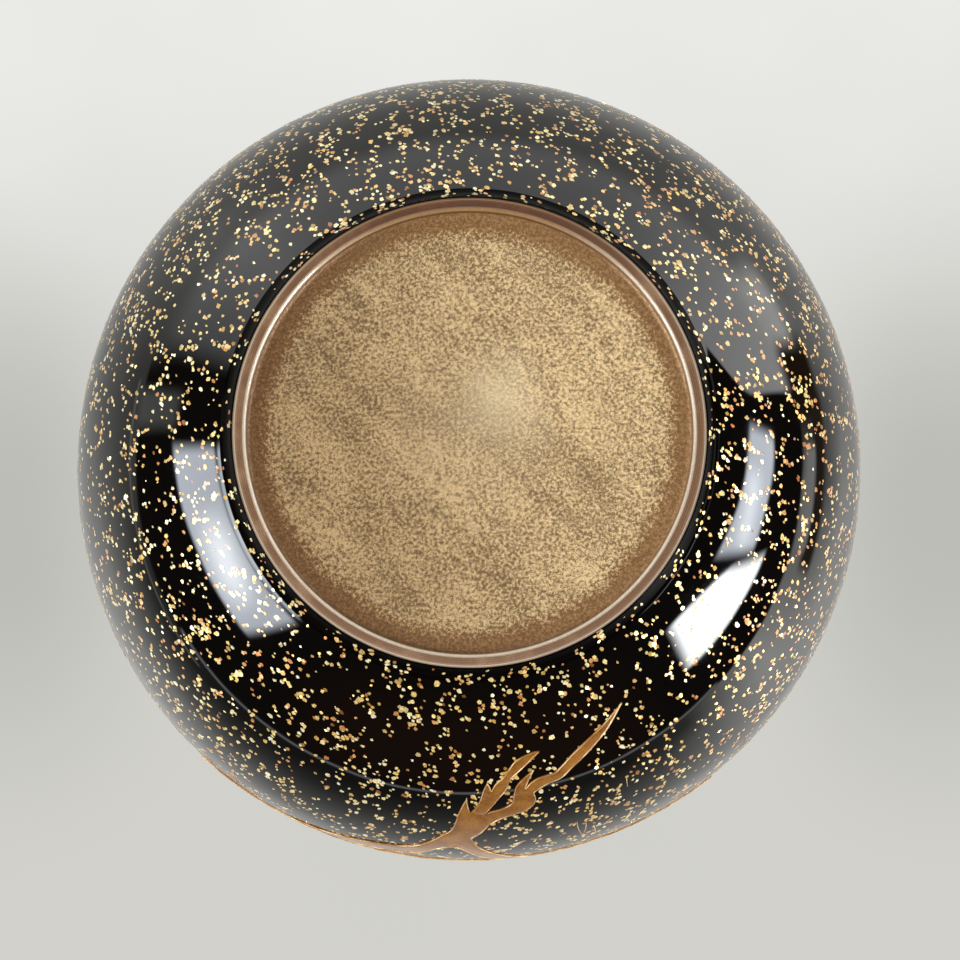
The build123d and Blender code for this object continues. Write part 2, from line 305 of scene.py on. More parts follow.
def calc(operation, first, second=0.0):
    return put(tree_of(first, second), "ShaderNodeMath", {0: first, 1: second}, operation=operation)


def blend(amount, first, second, mode="MIX"):
    """Two colours mixed by amount."""
    return put(tree_of(amount, first, second), "ShaderNodeMix", {0: amount, 6: first, 7: second}, 2,
               data_type="RGBA", blend_type=mode)


def noise(vector, scale, detail=3.0, roughness=0.5):
    inputs = {"Vector": vector, "Scale": scale, "Detail": detail, "Roughness": roughness}
    return put(vector.tree, "ShaderNodeTexNoise", inputs, "Fac")


def bands(vector, direction, **inputs):
    inputs = {"Vector": vector, **{name.replace("_", " "): value for name, value in inputs.items()}}
    return put(vector.tree, "ShaderNodeTexWave", inputs, "Fac", wave_type="BANDS", bands_direction=direction)


def stretched(vector, lengths, turn=0.0):
    """Texture space whose features are drawn out along its axes, turned about Z."""
    inputs = {"Vector": vector, "Scale": lengths, "Rotation": (0.0, 0.0, math.radians(turn))}
    return put(vector.tree, "ShaderNodeMapping", inputs, vector_type="TEXTURE")


def light_and_shade_gradient(colour, point, way, span, start, end):
    """A colour multiplied by a tint that changes along one direction over a span in metres: painted light and
    shade.
    """
    along = point.vector("DOT_PRODUCT", way, "Value")
    return blend(1.0, colour, blend(along.remap(*span), start, end), "MULTIPLY")


def ramp(value, stops):
    """A colour ramp through (position, colour or brightness) stops."""
    node = value.tree.nodes.new("ShaderNodeValToRGB")
    fill(node.inputs[0], value)
    elements = node.color_ramp.elements
    while len(elements) < len(stops):
        elements.new(0.5)
    for element, (position, tone) in zip(elements, stops):
        element.position = position
        element.color = (*tone, 1.0) if isinstance(tone, tuple) else (tone, tone, tone, 1.0)
    return Value(value.tree, node.outputs[0])


def axis_distance(point):
    """Distance of the shaded point from the bowl's axis, in metres."""
    return point.vector("MULTIPLY", (1.0, 1.0, 0.0)).vector("LENGTH", output="Value")


def bump(height, distance, strength=1.0):
    inputs = {"Height": height, "Distance": distance, "Strength": strength}
    return put(height.tree, "ShaderNodeBump", inputs, "Normal")


def empty_tree(owner):
    owner.use_nodes = True
    owner.node_tree.nodes.clear()
    return owner.node_tree


def material(name, paint, **constants):
    """A material whose paint function gives its colour, roughness and normal."""
    look = bpy.data.materials.new(name)
    tree = empty_tree(look)
    shader = tree.nodes.new("ShaderNodeBsdfPrincipled")
    for socket, value in constants.items():
        fill(shader.inputs[socket.replace("_", " ")], value)
    painted = paint(put(tree, "ShaderNodeTexCoord", output="Object"))
    for socket, value in zip(("Base Color", "Roughness", "Normal"), painted):
        fill(shader.inputs[socket], value)
    put(tree, "ShaderNodeOutputMaterial", {"Surface": Value(tree, shader.outputs[0])})
    look.diffuse_color = shader.inputs["Base Color"].default_value
    return look


# ---- materials: each paint function takes the object point and gives colour, roughness and normal

def paint_black_lacquer(point):
    colour = blend(noise(point, 60.0, 2.0), (0.0008, 0.0007, 0.0006), (0.0016, 0.0012, 0.0010))
    dust = noise(point, 2600.0, 2.0, 0.6).remap(0.70, 0.78)
    colour = blend(dust * 0.5, colour, (0.016, 0.013, 0.011))
    haze = noise(stretched(point, (1.0, 1.0, 0.33)), 90.0, 4.0, 0.6)
    return colour, haze.remap(0.35, 0.75, 0.018, 0.055), bump(noise(point, 34.0, 1.0), 0.00016)


def paint_inner_lacquer(point):
    colour = blend(noise(point, 50.0, 3.0), (0.004, 0.0034, 0.003), (0.010, 0.0075, 0.006))
    haze = noise(stretched(point, (1.0, 1.0, 0.17)), 140.0, 4.0, 0.6)
    return colour, haze.remap(0.3, 0.8, 0.06, 0.16), bump(noise(point, 45.0, 2.0), 0.0002)


def paint_flakes(dark, middle, light):
    """Metal grains, each lying at its own small angle under the clear lacquer."""
    def paint(point):
        tone = put(point.tree, "ShaderNodeAttribute", output="Fac", attribute_name="tone")
        grain = noise(point, 2400.0, 3.0, 0.7)
        colour = ramp(tone, ((0.0, dark), (0.5, middle), (1.0, light)))
        colour = colour.scaled(grain.remap(0.30, 0.70, 0.72, 1.12))
        spin = put(point.tree, "ShaderNodeTexWhiteNoise", {"W": tone}, "Color", noise_dimensions="1D")
        lean = spin.vector("SUBTRACT", (0.5, 0.5, 0.5)).scaled(FLAKE_LEAN)
        facing = put(point.tree, "ShaderNodeNewGeometry", output="Normal")
        return colour, grain.remap(0.3, 0.7, 0.26, 0.42), lean.vector("ADD", facing).vector("NORMALIZE")
    return paint


def paint_raised_gold(point):
    powder = noise(point, 3000.0, 2.0, 0.6)
    cloud = noise(point, 190.0, 4.0, 0.6)
    colour = blend(cloud.remap(0.3, 0.7), (0.235, 0.086, 0.010), (0.40, 0.170, 0.028))
    colour = colour.scaled(powder.remap(0.30, 0.72, 0.72, 1.22))
    brushed = noise(stretched(point, (1.0, 2.5, 2.5), 30.0), 900.0, 3.0, 0.6)
    return colour, powder.remap(0.3, 0.7, 0.34, 0.50), bump(brushed + powder * 0.35, 0.00006)


def paint_pale_rim(point):
    powder = noise(point, 2600.0, 2.0, 0.6)
    wear = noise(point, 220.0, 3.0, 0.6).remap(0.35, 0.65)
    colour = blend(wear, (0.40, 0.19, 0.055), (0.80, 0.58, 0.32))
    colour = colour.scaled(powder.remap(0.30, 0.72, 0.82, 1.12))
    return colour, powder.remap(0.3, 0.7, 0.30, 0.44), bump(powder, 0.00003)


# Tones across the foot ring's underside, as (radius, colour): its land and its worn edges, a pale band on the
# lip from 48.2 to 48.6 mm that is a painted highlight, and a darker line at 47.9 mm that is painted shade in
# the recess corner.
RING_TONES_AND_PAINTED_LIGHT = (
    (47.40, (0.200, 0.080, 0.018)), (47.90, (0.150, 0.070, 0.026)), (48.02, (0.260, 0.190, 0.130)),
    (48.20, (0.500, 0.430, 0.330)), (48.62, (0.430, 0.350, 0.260)), (48.86, (0.150, 0.072, 0.030)),
    (49.00, (0.115, 0.050, 0.017)), (50.05, (0.140, 0.062, 0.021)), (50.28, (0.200, 0.130, 0.080)),
    (50.48, (0.360, 0.280, 0.200)), (50.66, (0.220, 0.155, 0.105)), (50.90, (0.080, 0.055, 0.036)),
    (51.40, (0.200, 0.085, 0.026)),
)
WORN_BRONZE = (0.36, 0.225, 0.13)


def paint_bronze(point):
    """Turned bronze lacquer: lathe rings by distance from the axis, paler worn edges, a painted highlight on
    the lip, and painted shade that darkens it towards +Y.
    """
    wobble = noise(point, 25.0, 2.0) * 0.00012
    radius = axis_distance(point) + wobble
    rings = put(point.tree, "ShaderNodeTexNoise",
                {"W": radius, "Scale": 5200.0, "Detail": 4.0, "Roughness": 0.65}, "Fac",
                noise_dimensions="1D")
    inside, outside = RING_TONES_AND_PAINTED_LIGHT[0][0], RING_TONES_AND_PAINTED_LIGHT[-1][0]
    stops = [((place - inside) / (outside - inside), tone) for place, tone in RING_TONES_AND_PAINTED_LIGHT]
    colour = ramp(radius.remap(inside * MM, outside * MM, smooth=False), stops)
    wear = noise(point, 110.0, 4.0, 0.6).remap(0.45, 0.80, 0.0, 0.45)
    colour = blend(wear, colour, WORN_BRONZE)
    grain = noise(point, 2800.0, 2.0, 0.7)
    colour = colour.scaled((rings * 0.6 + grain * 0.4).remap(0.34, 0.66, 0.74, 1.22))
    # Painted shade: the ring grows darker and browner towards +Y.
    colour = light_and_shade_gradient(colour, point, (0.0, 1.0, 0.0), (0.028, 0.048), (1.0, 1.0, 1.0), (0.55, 0.38, 0.22))
    return colour, rings.remap(0.3, 0.7, 0.26, 0.44), bump(rings + grain * 0.3, 0.00005, 0.8)


BARE_GROUND = (0.150, 0.092, 0.044)
POWDERED_GROUND = (0.58, 0.43, 0.235)
MIDDLE_TONE = (0.36, 0.275, 0.175)
# A soft pale patch towards -X and +Y of the disc's middle: painted highlight.
PAINTED_HIGHLIGHT_SPOT = (-0.0075, 0.0075, 0.0022)
PAINTED_HIGHLIGHT_TONE = (0.68, 0.57, 0.38)
BROWN_BORDER = ((0.150, 0.078, 0.031), (0.265, 0.150, 0.068))


def paint_gold_ground(point):
    """Gold powder rubbed into lacquer: clumps that thin out in slanting strokes, a bare brown rim, a painted
    highlight beside the middle, and painted light and shade across the disc.
    """
    radius = axis_distance(point)
    strokes = noise(stretched(point, (1.0, 3.2, 1.0), -42.0), 230.0, 4.0, 0.65)
    cloud = noise(point, 48.0, 4.0, 0.6)
    specks = noise(point, 5200.0, 2.0, 0.7)
    grain = noise(point, 1450.0, 3.0, 0.65) * 0.7 + specks * 0.3
    cover = grain + (strokes * 0.22 + cloud * 0.16 - 0.19)
    colour = blend(cover.remap(0.39, 0.62), BARE_GROUND, POWDERED_GROUND)
    wander = cloud * 0.02
    colour = blend((radius + wander).remap(0.036, 0.012) * 0.30, colour, MIDDLE_TONE)
    # Painted highlight: a soft pale patch beside the disc's middle, towards -X and +Y.
    from_painted_highlight = point.vector("DISTANCE", PAINTED_HIGHLIGHT_SPOT, "Value")
    colour = blend((from_painted_highlight + wander).remap(0.025, 0.008) * 0.40, colour, PAINTED_HIGHLIGHT_TONE)
    fringe = (cover - 0.5) * 0.012
    bare = blend(grain.remap(0.42, 0.62), *BROWN_BORDER)
    colour = blend((radius - fringe).remap(0.0412, 0.0448), colour, bare)
    colour = colour.scaled(specks.remap(0.34, 0.66, 0.80, 1.20))
    # Painted light and shade: the disc lighter towards -X and a little +Y, darker towards +X.
    colour = light_and_shade_gradient(colour, point, (-0.94, 0.34, 0.0), (-0.045, 0.040),
                    (0.68, 0.63, 0.56), (1.19, 1.19, 1.15))
    return colour, cover.remap(0.35, 0.65, 0.52, 0.38), bump(grain, 0.00010)


def paint_turned_wood(point):
    rings = bands(stretched(point, (1.0, 5.5, 1.0)), "X",
                  Scale=55.0, Distortion=7.0, Detail=3.0, Detail_Scale=1.6)
    fibre = noise(stretched(point, (1.0, 16.0, 1.0)), 900.0, 4.0, 0.7)
    colour = blend(rings, (0.42, 0.26, 0.13), (0.60, 0.42, 0.24))
    colour = blend(fibre.remap(0.5, 0.8), colour, (0.30, 0.18, 0.09))
    return colour, fibre.remap(0.3, 0.7, 0.48, 0.66), bump(fibre, 0.00008)


def paint_hemp(point):
    warp = bands(point, "Z", Scale=420.0, Distortion=1.2)
    weave = warp.maximum(bands(point, "DIAGONAL", Scale=420.0, Distortion=1.2))
    return blend(weave, (0.30, 0.245, 0.165), (0.55, 0.47, 0.34)), 0.85, bump(weave, 0.0002)


def flake_look(name, dark, middle, light):
    return material(name, paint_flakes(dark, middle, light), Base_Color=middle, Metallic=0.55, Roughness=0.42,
                    Coat_Weight=1.0)


BLACK_LACQUER = material("black_lacquer", paint_black_lacquer, Base_Color=(0.0016, 0.0013, 0.0012),
                         Roughness=0.035, IOR=1.52)
# Rough lacquer with almost no reflection, for the crease by the foot: painted shade.
CREASE_SHADE_LACQUER = material("crease_shade_black_lacquer", paint_black_lacquer, Base_Color=(0.0012, 0.0010, 0.0008),
                        Roughness=0.3, IOR=1.52, Specular_IOR_Level=0.03)
INNER_BLACK = material("inner_black_lacquer", paint_inner_lacquer, Base_Color=(0.007, 0.0055, 0.0045),
                       Roughness=0.1, IOR=1.52)
PALE_FLAKE = flake_look("pale_gold_flake", (0.56, 0.38, 0.12), (1.0, 0.82, 0.40), (1.0, 0.98, 0.70))
GOLD_FLAKE = flake_look("gold_flake", (0.42, 0.20, 0.04), (0.92, 0.61, 0.18), (1.0, 0.90, 0.44))
COPPER_FLAKE = flake_look("copper_flake", (0.30, 0.09, 0.02), (0.70, 0.32, 0.10), (1.0, 0.62, 0.26))
RAISED_GOLD = material("raised_gold_fill", paint_raised_gold, Base_Color=(0.32, 0.13, 0.02),
                       Metallic=0.55, Roughness=0.42, Coat_Weight=1.0, Coat_Roughness=0.08)
PALE_RIM = material("raised_gold_rim", paint_pale_rim, Base_Color=(0.60, 0.38, 0.18),
                    Metallic=0.5, Roughness=0.36)
BRONZE = material("bronze_lacquer", paint_bronze, Base_Color=(0.20, 0.085, 0.026),
                  Metallic=0.3, Roughness=0.35, Coat_Weight=1.0, Coat_Roughness=0.12)
GOLD_GROUND = material("gold_ground", paint_gold_ground, Base_Color=(0.37, 0.26, 0.14),
                       Metallic=0.4, Roughness=0.46)
TURNED_WOOD = material("turned_wood", paint_turned_wood, Base_Color=(0.52, 0.36, 0.2), Roughness=0.56)
HEMP = material("hemp_cloth", paint_hemp, Base_Color=(0.45, 0.38, 0.27), Roughness=0.85)


# ---- the bowl's profile

def arc_stops(start, heading, radius, turn, side, step):
    """(point, heading) pairs along an arc, without its first point. Side 1 turns left, -1 right."""
    count = max(2, math.ceil(radius * math.radians(turn) / step))
    centre = start + left_of(heading) * (side * radius)
    stops = []
    for index in range(1, count + 1):
        angle = heading + side * math.radians(turn) * index / count
        stops.append((centre - left_of(angle) * (side * radius), angle))
    return stops


def left_of(heading):
    return Vector((-math.sin(heading), math.cos(heading)))


def follow(start, heading, runs, step):
    """(point, heading) pairs along tangent arcs given as (radius, turn, side)."""
    stops = [(start, heading)]
    for radius, turn, side in runs:
        stops += arc_stops(*stops[-1], radius, turn, side, step)
    return stops


def wall_down(offset, step, with_cove):
    """The wall at an offset from the outer surface, from its widest circle down to the foot."""
    runs = [(radius + offset, turn, -1) for radius, turn in LOWER_ARCS]
    if with_cove:
        runs += [(radius - offset, turn, 1) for radius, turn in COVE_ARCS]
    stops = follow(Vector((BELLY_RADIUS + offset, BELLY_HEIGHT)), -math.pi / 2, runs, step)
    if with_cove:
        point, heading = stops[-1]
        along = Vector((math.cos(heading), math.sin(heading)))
        stops.append((point + along * COVE_RUN, heading))
    return stops


def wall_up(offset, step):
    runs = [(radius + offset, turn, 1) for radius, turn in UPPER_ARCS]
    return follow(Vector((BELLY_RADIUS + offset, BELLY_HEIGHT)), math.pi / 2, runs, step)


def floor_down(depth, step):
    """The inside from its widest circle down to the axis."""
    runs = [(radius - WALL + depth, turn, -1) for radius, turn in LOWER_ARCS[:2]]
    runs.append((FLOOR_ARC + depth, FLOOR_TURN, -1))
    stops = follow(Vector((BELLY_RADIUS - WALL + depth, BELLY_HEIGHT)), -math.pi / 2, runs, step)
    return stops + [(Vector((0.0, stops[-1][0].y)), math.pi)]


def wall_arcs():
    """Centre, radius, direction and last normal angle of every arc of the outer wall."""
    arcs = []
    for direction, runs in ((-1, LOWER_ARCS), (1, UPPER_ARCS)):
        turned = 0.0
        radius_before = runs[0][0]
        centre = Vector((BELLY_RADIUS - radius_before, BELLY_HEIGHT))
        for radius, turn in runs:
            normal = Vector((math.cos(turned), direction * math.sin(turned)))
            centre = centre + normal * (radius_before - radius)
            turned += math.radians(turn)
            arcs.append((centre, radius, direction, turned))
            radius_before = radius
    return arcs


WALL_ARCS = wall_arcs()


def over_wall(point):
    """Height of a 3-D point over the outer wall, and the outward normal there."""
    spread = math.hypot(point.x, point.y)
    direction = -1 if point.z < BELLY_HEIGHT else 1
    for centre, radius, side, last in WALL_ARCS:
        if side != direction:
            continue
        across, along = spread - centre.x, point.z - centre.y
        if math.atan2(direction * along, across) <= last:
            break
    reach = math.hypot(across, along)
    sideways = across / reach / spread
    return reach - radius, Vector((point.x * sideways, point.y * sideways, along / reach))


def onto_wall(point, direction, reach=140.0):
    """Where a line from the point meets the outer wall, and the normal there."""
    near, far = 0.0, reach
    for _ in range(HALVINGS):
        middle = (near + far) / 2
        height, normal = over_wall(point + direction * middle)
        if height < 0:
            near = middle
        else:
            far = middle
    return point + direction * near, normal


def wall_point(azimuth, turn):
    """The wall point whose normal is turned up (or down, if negative) from the horizontal."""
    turned = math.radians(abs(turn))
    direction = 1 if turn >= 0 else -1
    for centre, radius, side, last in WALL_ARCS:
        if side == direction and turned <= last:
            break
    spread = centre.x + radius * math.cos(turned)
    height = centre.y + direction * radius * math.sin(turned)
    around = math.radians(azimuth)
    place = Vector((spread * math.sin(around), -spread * math.cos(around), height))
    return place, over_wall(place)[1]


# ---- mesh helpers

def gather(parts):
    """One list of points and faces from several."""
    points, faces = [], []
    for part_points, part_faces in parts:
        shift = len(points)
        points += part_points
        faces += [tuple(index + shift for index in corner) for corner in part_faces]
    return points, faces


def circle(count):
    """Even angles round a full turn."""
    return [2 * math.pi * index / count for index in range(count)]


def bridge(lower, upper):
    """Faces between two rings of point numbers, of which one may be a single point."""
    faces = []
    segments = max(len(lower), len(upper))
    for index in range(segments):
        after = (index + 1) % segments
        corners = (lower[index % len(lower)], lower[after % len(lower)],
                   upper[after % len(upper)], upper[index % len(upper)])
        faces.append(tuple(dict.fromkeys(corners)))
    return faces


def add_piece(name, parts, look, stands_for=(), sharp=35.0):
    """A mesh piece from closed (points, faces) parts in millimetres, riding on the bowl."""
    points, faces = gather(parts)
    mesh = bpy.data.meshes.new(name)
    mesh.from_pydata([tuple(point * MM) for point in points], [], faces)
    mesh.validate()
    tidy = bmesh.new()
    tidy.from_mesh(mesh)
    bmesh.ops.recalc_face_normals(tidy, faces=tidy.faces)
    tidy.to_mesh(mesh)
    tidy.free()
    mesh.shade_smooth()
    mesh.set_sharp_from_angle(angle=math.radians(sharp))
    mesh.materials.append(look)
    piece = bpy.data.objects.new(name, mesh)
    bpy.context.scene.collection.objects.link(piece)
    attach(piece, BODY)
    if stands_for:
        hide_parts(*stands_for)
    return piece


def lathe(loop, segments, open_on_axis=False):
    """Points and faces turned from a closed loop, or a line that ends on the axis, of (radius, height)."""
    points = []
    rings = []
    for place in loop:
        if place.x < 1e-6:
            rings.append([len(points)])
            points.append(Vector((0.0, 0.0, place.y)))
            continue
        rings.append(range(len(points), len(points) + segments))
        points += [Vector((place.x * math.cos(around), place.x * math.sin(around), place.y))
                   for around in circle(segments)]
    faces = []
    for lower, upper in zip(rings, rings[1:] if open_on_axis else rings[1:] + rings[:1]):
        faces += bridge(lower, upper)
    return points, faces


def places(stops):
    return [point for point, heading in stops]


# ---- turned pieces

def make_outer_coat():
    outside = places(wall_up(0.0, OUTER_STEP))[::-1] + places(wall_down(0.0, OUTER_STEP, True))[1:]
    down = places(wall_down(-LACQUER, HIDDEN_STEP, True))[::-1]
    underneath = down + places(wall_up(-LACQUER, HIDDEN_STEP))[1:]
    turned = lathe(outside + underneath, LATHE_SEGMENTS)
    shade_the_crease(add_piece("outer_lacquer", [turned], BLACK_LACQUER, ["lacquer_coat"]))


def shade_the_crease(piece):
    """Duller lacquer that barely reflects, between the foot ring's worn edge and the start of the belly:
    painted shade that keeps the crease dark.
    """
    piece.data.materials.append(CREASE_SHADE_LACQUER)
    for face in piece.data.polygons:
        if LACQUERED_FROM * MM < math.hypot(face.center.x, face.center.y) < CREASE_END * MM:
            face.material_index = 1


def make_inner_coat():
    face = places(wall_up(-WALL, INNER_STEP))[::-1] + places(floor_down(0.0, INNER_STEP))[1:]
    back = places(floor_down(INNER_LACQUER, HIDDEN_STEP))[::-1]
    back += places(wall_up(INNER_LACQUER - WALL, HIDDEN_STEP))[1:]
    turned = lathe_to_axis(face, back, INNER_SEGMENTS)
    add_piece("inner_lacquer", [turned], INNER_BLACK, ["inner_coat"])


def lathe_to_axis(face, back, segments):
    """A turned solid whose two sides both end on the axis: face runs to it, back runs from it."""
    points, faces = gather([lathe(face, segments, True), lathe(back, segments, True)])
    return points, faces + bridge(range(segments), range(len(points) - segments, len(points)))


def make_foot_ring():
    """The ring with its rounded inner lip, worn outer edge and fine lathe lines on the land."""
    lip_outer = places(wall_down(0.0, HIDDEN_STEP, True))[-1]
    loop = [lip_outer]
    for index in range(1, 7):
        part = index / 7
        bulge = EDGE_SOFTNESS * math.sin(math.pi * part)
        loop.append(Vector((lip_outer.x + (LAND_OUTER - lip_outer.x) * part + bulge * 0.6,
                            lip_outer.y * (1 - part) - bulge * 0.6)))
    loop = [Vector((point.x, max(point.y, 0.0))) for point in loop]
    for index in range(LAND_STEPS + 1):
        inward = (LAND_OUTER - LAND_INNER) * index / LAND_STEPS
        groove = 0.5 - 0.5 * math.cos(2 * math.pi * inward / LATHE_LINE_PITCH)
        loop.append(Vector((LAND_OUTER - inward, LATHE_LINE_DEPTH * groove)))
    for index in range(1, 11):
        angle = math.pi / 2 * index / 10
        loop.append(Vector((LAND_INNER - LIP_ROUND * math.sin(angle), LIP_ROUND * (1 - math.cos(angle)))))
    heel = places(wall_down(-LACQUER, RING_STEP, False))[-1]
    seat = ((RING_BORE, RECESS_DEPTH), (DISC_RADIUS, RECESS_DEPTH), (DISC_RADIUS, SEAT_HEIGHT),
            (heel.x, SEAT_HEIGHT))
    loop += [Vector(corner) for corner in seat]
    loop += [point for point in places(wall_down(-LACQUER, RING_STEP, True)) if point.y <= heel.y + 1e-6]
    turned = lathe(loop, RING_SEGMENTS)
    shade_the_crease(add_piece("foot_ring_turned", [turned], BRONZE, ["foot_ring"], 50.0))


def make_base_disc():
    """The disc's ground, hand-rubbed so that it is nowhere quite flat, with a build-up at its edge."""
    rng = random.Random(SWELL_SEED)
    swells = []
    for _ in range(SWELL_COUNT):
        turn = rng.uniform(0, 2 * math.pi)
        pitch = rng.uniform(*SWELL_PITCH)
        swells.append((math.cos(turn) / pitch, math.sin(turn) / pitch, rng.uniform(0, 1),
                       pitch * SWELL_STEEPNESS))
    points = [Vector((0.0, 0.0, RECESS_DEPTH))]
    rings = [[0]]
    for ring in range(1, DISC_RINGS + 1):
        spread = RING_BORE * ring / DISC_RINGS
        to_wall = max(0.0, DISC_FILLET - (RING_BORE - spread)) / DISC_FILLET
        build_up = DISC_FILLET * (1 - math.sqrt(max(0.0, 1 - to_wall ** 2)))
        fade = 1 - (spread / RING_BORE) ** 6
        rings.append(range(len(points), len(points) + INNER_SEGMENTS))
        for around in circle(INNER_SEGMENTS):
            x, y = spread * math.cos(around), spread * math.sin(around)
            swell = sum(size * math.sin(2 * math.pi * (x * fx + y * fy + phase))
                        for fx, fy, phase, size in swells)
            points.append(Vector((x, y, RECESS_DEPTH - build_up - DISC_LIFT + swell * fade)))
    faces = [face for lower, upper in zip(rings, rings[1:]) for face in bridge(lower, upper)]
    edge = ((RING_BORE, RECESS_DEPTH + 0.01), (DISC_RADIUS, RECESS_DEPTH + 0.01), (DISC_RADIUS, SEAT_HEIGHT),
            (0.0, SEAT_HEIGHT))
    back = lathe([Vector(corner) for corner in edge], INNER_SEGMENTS, open_on_axis=True)
    shift = len(points)
    points, faces = gather([(points, faces), back])
    faces += bridge(rings[-1], range(shift, shift + INNER_SEGMENTS))
    add_piece("base_disc_ground", [(points, faces)], GOLD_GROUND, ["base_disc"], 50.0)


def make_mouth_band():
    """The rounded bead that closes the wall's end."""
    end, heading = wall_up(0.0, OUTER_STEP)[-1]
    along = Vector((math.cos(heading), math.sin(heading)))
    outward = Vector((along.y, -along.x))
    middle = end - outward * (WALL / 2)
    loop = []
    for index in range(BAND_STEPS + 1):
        angle = math.pi * index / BAND_STEPS
        sideways, upward = BAND_RADIUS * math.cos(angle), BAND_RADIUS * math.sin(angle)
        loop.append(middle + outward * sideways + along * upward)
    for part in (0.5, 0.0, -0.5):
        loop.append(middle - outward * (BAND_RADIUS * part))
    add_piece("mouth_band_turned", [lathe(loop, LATHE_SEGMENTS)], BRONZE, ["mouth_band"])


# ---- raised gold

TILT = math.radians(DRAWING_TILT)
PLANE_FACING = Vector((0.0, -math.cos(TILT), -math.sin(TILT)))
PLANE_RIGHT = Vector((1.0, 0.0, 0.0))
PLANE_UP = Vector((0.0, -math.sin(TILT), math.cos(TILT)))
PLANE_ORIGIN = Vector((0.0, 0.0, BELLY_HEIGHT))
FRONT_FACING = Vector((0.0, -1.0, 0.0))


def from_plane(spot):
    start = PLANE_ORIGIN + PLANE_RIGHT * spot.x + PLANE_UP * spot.y
    return onto_wall(start, PLANE_FACING)


def from_front(spot):
    return onto_wall(Vector((spot.x, 0.0, spot.y)), FRONT_FACING)


def through(corners):
    """A smooth curve through the corners, as closely spaced 2-D points, ends included."""
    corners = [Vector(corner) for corner in corners]
    line = []
    for index in range(len(corners) - 1):
        before = corners[max(index - 1, 0)]
        start, end = corners[index], corners[index + 1]
        after = corners[min(index + 2, len(corners) - 1)]
        count = max(1, math.ceil((end - start).length / OUTLINE_STEP))
        for part in range(count):
            t = part / count
            curve = (start * 2 + (end - before) * t + (before * 2 - start * 5 + end * 4 - after) * t ** 2
                     + (start * 3 - before - end * 3 + after) * t ** 3) * 0.5
            line.append(curve)
    line.append(corners[-1])
    return line


def outline_of(stretches):
    """The closed outline made of the stretches, without its repeated end points."""
    outline = []
    for corners in stretches:
        outline += through(corners)[:-1]
    return outline


def stroke_outline(spine):
    """The closed outline of a brush stroke from its spine and widths."""
    middles = [Vector(point) for point, width in spine]
    left, right = [], []
    for index, (point, width) in enumerate(spine):
        along = (middles[min(index + 1, len(spine) - 1)] - middles[max(index - 1, 0)]).normalized()
        across = Vector((-along.y, along.x)) * (width / 2)
        left.append(middles[index] + across)
        right.append(middles[index] - across)
    return through(left) + through(right)[::-1]


def inside(spot, outline):
    """Whether a 2-D spot is inside a closed outline."""
    crossed = False
    before = outline[-1]
    for corner in outline:
        if (corner.y > spot.y) != (before.y > spot.y):
            if spot.x < (before.x - corner.x) * (spot.y - corner.y) / (before.y - corner.y) + corner.x:
                crossed = not crossed
        before = corner
    return crossed


def relief(outline, place, seed):
    """Points and faces of a low, soft-shouldered solid that stands on the wall inside the outline."""
    rng = random.Random(seed)
    edge = KDTree(len(outline))
    for index, corner in enumerate(outline):
        edge.insert((corner.x, corner.y, 0.0), index)
    edge.balance()
    low = Vector((min(corner.x for corner in outline), min(corner.y for corner in outline)))
    high = Vector((max(corner.x for corner in outline), max(corner.y for corner in outline)))
    spots = list(outline)
    for column in range(int((high.x - low.x) / RELIEF_GRID) + 1):
        for row in range(int((high.y - low.y) / RELIEF_GRID) + 1):
            spot = Vector((low.x + (column + rng.uniform(0.3, 0.7)) * RELIEF_GRID,
                           low.y + (row + rng.uniform(0.3, 0.7)) * RELIEF_GRID))
            if inside(spot, outline) and edge.find((spot.x, spot.y, 0.0))[2] > 0.45 * RELIEF_GRID:
                spots.append(spot)
    loop = list(range(len(outline)))
    flat, _, triangles, _, _, _ = delaunay_2d_cdt(spots, [], [loop], 1, 1e-5)
    tops, bottoms = [], []
    for spot in flat:
        foot, normal = place(spot)
        distance = edge.find((spot.x, spot.y, 0.0))[2]
        shoulder = min(distance / RELIEF_SHOULDER, 1.0)
        rise = BRANCH_RELIEF * (0.45 + 0.55 * math.sqrt(1 - (1 - shoulder) ** 2))
        tops.append(foot + normal * rise)
        bottoms.append(foot - normal * RELIEF_SINK)
    count = len(flat)
    faces = [tuple(corner) for corner in triangles]
    faces += [tuple(index + count for index in reversed(corner)) for corner in triangles]
    used = dict.fromkeys(pair for corner in triangles for pair in zip(corner, (*corner[1:], corner[0])))
    for start, end in used:
        if (end, start) not in used:
            faces.append((end, start, start + count, end + count))
    return tops + bottoms, faces


def ridge(line, widths, rise):
    """Points and faces of a half-round ridge along placed (point, normal) pairs."""
    points, faces = [], []
    total = len(line)
    for index, (foot, normal) in enumerate(line):
        before, after = line[max(index - 1, 0)][0], line[min(index + 1, total - 1)][0]
        along = (after - before).normalized()
        across = normal.cross(along).normalized() * (widths[index] / 2)
        for side in range(RIDGE_SIDES + 1):
            angle = math.pi * side / RIDGE_SIDES
            points.append(foot + across * math.cos(angle) + normal * (rise * math.sin(angle)))
        points.append(foot - across * 0.9 - normal * RELIEF_SINK)
        points.append(foot + across * 0.9 - normal * RELIEF_SINK)
    around = RIDGE_SIDES + 3
    loops = [range(start, start + around) for start in range(0, total * around, around)]
    for here, there in zip(loops, loops[1:]):
        faces += bridge(here, there)
    return points, faces + [tuple(loops[0])[::-1], tuple(loops[-1])]


